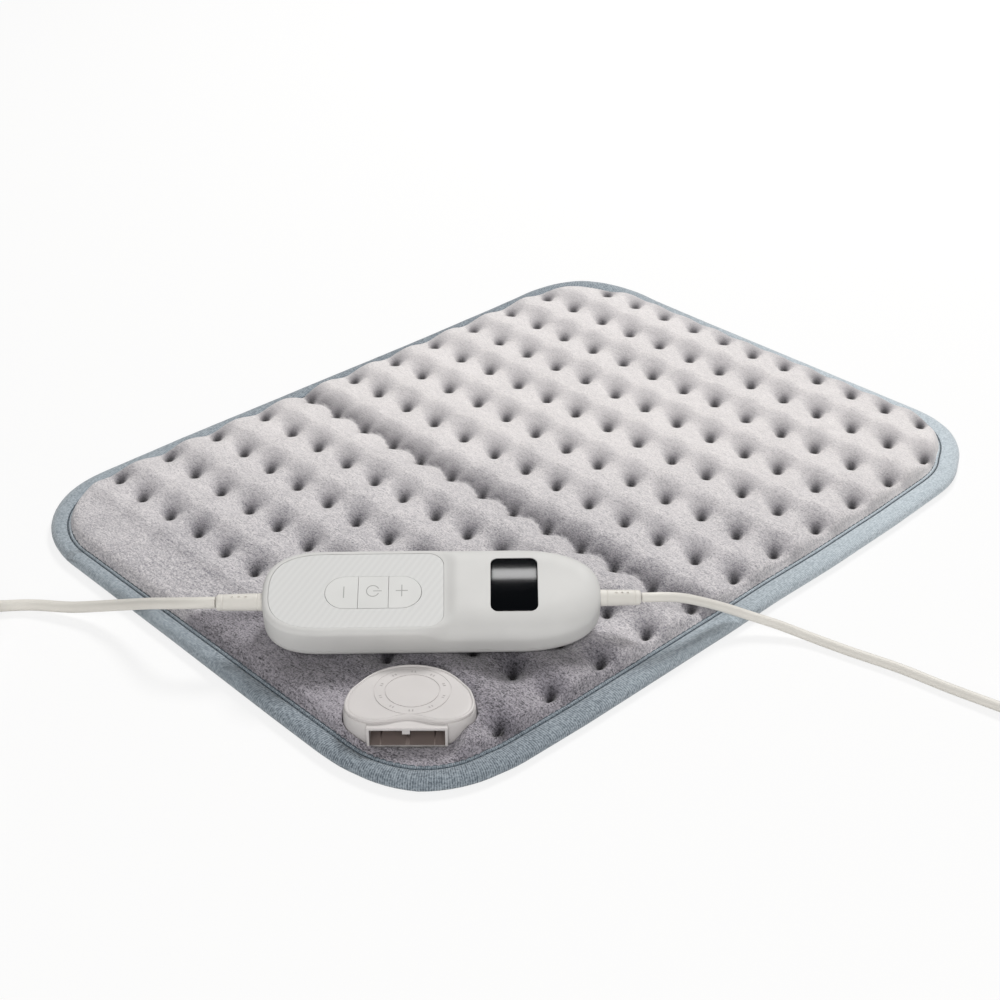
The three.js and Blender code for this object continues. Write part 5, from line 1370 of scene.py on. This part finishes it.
# (inset, notch, depth below the top) up the wall, round the lip and over the recess behind it
HOUSING_PROFILE = (
    (0, -1.3, 6.5), (0.1, -1.25, 4), (0.25, -0.9, 2.8), (0.4, 0.2, 2.0), (0.6, 1.2, 1.6), (1.1, 1.7, 1.45),
    (1.1, 2.1, 1.1), (0.65, 2.3, 0.85), (0.65, 2.7, 0.45), (0.95, 3.1, 0.1), (1.3, 3.4, 0), (1.6, 3.5, 0.1),
    (1.8, 3.5, 0.45), (2.0, 3.5, 0.45), (2.2, 3.45, 0.3), (2.6, 3.4, 0.24), (3.4, 3.2, 0.2),
)
# (share of the recess's plan, depth) towards its middle
RECESS_PROFILE = ((0.86, 0.2), (0.68, 0.1), (0.45, 0.05), (0.2, 0.02))


def socket_top(y):
    return FRONT_HEIGHT - (y + SOCKET_FORM["lobe"]) * SOCKET_TILT


def lowered(plan, depth):
    return [(x, y, socket_top(y) - depth) for x, y in plan]


def on_socket(*forms):
    return [moved(form, SOCKET_PLACE) for form in forms]


def upright(outline, y0, y1):
    """A form with an (x, z) outline, between two places along y."""
    return stacked([[(x, y, z) for x, z in outline] for y in (y0, y1)])


def make_housing():
    rings = [flat(socket_plan(0.75, -NOTCH), HOUSING_BOTTOM), flat(socket_plan(0, -NOTCH), 5.8)]
    rings += [lowered(socket_plan(inset, notch), depth) for inset, notch, depth in HOUSING_PROFILE]
    for share, depth in RECESS_PROFILE:
        rings.append(lowered([(x * share, (y + 2) * share - 2) for x, y in socket_plan(3.4, 3.2)], depth))
    half = SLOT_WIDTH / 2 + FRAME_WALL
    hood = [
        (SLOT_AT - half, HOUSING_BOTTOM), (SLOT_AT + half, HOUSING_BOTTOM),
        (SLOT_AT + half, SLOT_TOP + FRAME_WALL), (SLOT_AT - half, SLOT_TOP + FRAME_WALL),
    ]
    form, hood_form = on_socket(stacked(rings), upright(hood, MOUTH_Y - 0.6, -12))
    housing = piece("socket_shell", form, SOCKET, "socket_plastic", ("socket_housing",))
    hood_piece = scratch(hood_form)
    bevel(hood_piece, 0.3)
    carve(housing, [hood_piece], "UNION")
    x0, x1 = SLOT_AT - SLOT_WIDTH / 2, SLOT_AT + SLOT_WIDTH / 2
    carve(housing, on_socket(
        box_form(x0, x1, MOUTH_Y - 4, 3.5, SLOT_BOTTOM, SLOT_TOP),
        box_form(x0, x1, MOUTH_Y - 4, MOUTH_Y + 1.0, HOUSING_BOTTOM - 1, SLOT_BOTTOM + 1),
        *(prism(circle(x, y, 1.8, 20), 2, 8.3) for x, y in ((-20.5, -4), (20.5, -4), (0, 11.5))),
    ))
    key = box_form(SLOT_AT - 1.9, SLOT_AT + 1.1, MOUTH_Y, MOUTH_Y + 3, SLOT_TOP - 2.4, SLOT_TOP + 0.4)
    carve(housing, on_socket(key), "UNION")
    grooves = []
    for radius in DIAL_RINGS:
        rings = []
        for a in np.arange(96) * 2 * pi / 96:
            section = []
            for dr, dz in ((-0.2, 0.6), (0.2, 0.6), (0.2, -0.3), (-0.2, -0.3)):
                section += lowered(arc(*DIAL, radius + dr, [a]), -DIAL_LEVEL - dz)
            rings.append(section)
        grooves.append(ringed(rings, closed=True))
    carve(housing, on_socket(*grooves))
    smooth_by_angle(housing, 32)


def make_ticks():
    """Ten pairs of fine ticks between the dial's rings."""
    ticks = []
    for a in 2 * pi * np.arange(10) / 10 + pi / 2:
        for place in arc(*DIAL, TICK_RADIUS, (a - 0.05, a + 0.05)):
            turn = Matrix.Translation((*place, 0)) @ Matrix.Rotation(a, 4, "Z")
            plan = [(turn @ Vector((*p, 0)))[:2] for p in bar(0, 0, 1.0, 0.54)]
            ticks.append(stacked([lowered(plan, -DIAL_LEVEL - level) for level in (-0.12, 0.03)]))
    piece("socket_ticks", *on_socket(merged(ticks)), TICK, "socket_plastic", smooth=False)


def make_contact_block():
    z0, z1 = SLOT_BOTTOM + GAP, SLOT_TOP - GAP
    body = box_form(-BLOCK_WIDTH / 2, BLOCK_WIDTH / 2, BLOCK_Y, BLOCK_Y + BLOCK_DEPTH, z0, z1)
    block = piece("socket_chambers", *on_socket(body), BLOCK, "block_plastic", ("socket_contact_block",))
    middle = (SLOT_TOP + SLOT_BOTTOM) / 2
    boxes = []
    for x, width, contact in CHAMBERS:
        half, slit = width / 2, contact / 2 + GAP
        boxes += [
            (x - half, x + half, BLOCK_Y - 2, BLOCK_Y + 7.5, z0 + CHAMBER_WALL, z1 - CHAMBER_WALL),
            (x - slit, x + slit, BLOCK_Y + 5, BLOCK_Y + BLOCK_DEPTH + 2, middle - 0.7, middle + 0.7),
        ]
    carve(block, on_socket(*(box_form(*box) for box in boxes)))
    bevel(block, 0.12, 1)


def make_slot_liner():
    """The slot's floor, with fine ribs along it."""
    skin, rib, half = 0.12, 0.32, SLOT_WIDTH / 2 - 0.02
    liner = [(-half, 0.02), (half, 0.02)]
    for x in (10.6, 0.55, -0.55, -10.6):
        liner += [(x + s, up) for s, up in ((0.3, skin), (0.3, rib), (-0.3, rib), (-0.3, skin))]
    floor_form = upright([(x + SLOT_AT, SLOT_BOTTOM + z) for x, z in liner], MOUTH_Y + 0.7, BLOCK_Y - 0.1)
    piece("slot_liner", *on_socket(floor_form), BLOCK, "block_plastic")


make_housing()
make_ticks()
make_contact_block()
make_slot_liner()

# Materials of the pieces that stay as the solids have them
BUTTONS = ("minus", "power", "plus")
KEPT = {
    FELT: ["heating_felt"],
    WIRE: ["heating_wire"],
    BOARD: ["circuit_board"],
    DARK_PLASTIC: [
        "display_module", *(f"{name}_{part}" for name in BUTTONS for part in ("switch", "plunger")),
    ],
    SOCKET: ["socket_base"],
    BRASS: [f"{side}_contact_{k}" for side in ("socket", "connector") for k in (1, 2, 3, 4)],
    STEEL: [f"case_screw_{k}" for k in (1, 2, 3, 4)],
    BLOCK: ["thermal_fuse"],
}
for mat, names in KEPT.items():
    for name in names:
        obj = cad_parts[name]
        if not obj.material_slots:
            obj.data.materials.append(mat)
        for slot in obj.material_slots:
            slot.link = "OBJECT"
            slot.material = mat


# Studio, in metres
def is_seen(mat):
    """1 for rays of the camera and for refracted ones."""
    path = node(mat, "LightPath").outputs
    return calc(mat, "MAXIMUM", path["Is Camera Ray"], path["Is Transmission Ray"])


def make_floor():
    mat, shader = principled("floor_white", (0.86, 0.86, 0.86), 0.9, specular=0.1)
    glow = node(mat, "Emission", {"Strength": 1.0})
    share = calc(mat, "MULTIPLY", is_seen(mat), 0.8)
    mix = node(mat, "MixShader", {"Fac": share, 1: shader.outputs[0], 2: glow.outputs[0]})
    link(mat, mix.outputs[0], mat.node_tree.nodes["Material Output"].inputs["Surface"])
    mesh = bpy.data.meshes.new("floor")
    mesh.from_pydata([(-8, -8, 0), (8, -8, 0), (8, 8, 0), (-8, 8, 0)], [], [(0, 1, 2, 3)])
    mesh.materials.append(mat)
    placed("floor", mesh)


def make_world():
    world = bpy.data.worlds.new("studio")
    world.use_nodes = True
    bpy.context.scene.world = world
    nodes = world.node_tree.nodes
    light = nodes["Background"]
    light.inputs["Color"].default_value = (1.0, 0.985, 0.965, 1)
    light.inputs["Strength"].default_value = 0.24
    pale = node(world, "Background", {"Strength": 1.0})
    mix = node(world, "MixShader", {"Fac": is_seen(world), 1: light.outputs[0], 2: pale.outputs[0]})
    link(world, mix.outputs[0], nodes["World Output"].inputs["Surface"])


def make_light(name, shape, size, power, colour, matrix):
    data = bpy.data.lights.new(name, "AREA")
    data.shape, data.energy, data.color = shape, power, colour
    data.size, data.size_y = size
    return placed(name, data, matrix)


def aimed(place, target):
    turn = (Vector(target) - Vector(place)).to_track_quat("-Z", "Y").to_matrix().to_4x4()
    return Matrix.Translation(place) @ turn


def opening_place():
    """Where a small lit opening shows as a pale band in the display's glass."""
    across = Vector((0.7243, -0.689, -0.0259)).normalized()
    back = Vector((0.3109, 0.2929, 0.9042)).normalized()
    turn = Matrix((across, back.cross(across), back)).transposed().to_4x4()
    return Matrix.Translation((0.2815, 0.265, 1.1195)) @ turn


make_floor()
make_world()
make_light("key", "DISK", (0.5, 0.5), 25, (1.0, 0.99, 0.975), aimed((1.08, 0.48, 1.40), (0, 0, 0)))
make_light("fill", "DISK", (1.2, 1.2), 15, (1.0, 0.99, 0.98), aimed((-1.05, -1.0, 0.98), (-0.1, -0.08, 0.02)))
opening = make_light("opening", "RECTANGLE", (0.050, 0.011), 0.087, (1, 1, 1), opening_place())
opening.visible_camera = False
bpy.context.scene.view_settings.view_transform = "Standard"
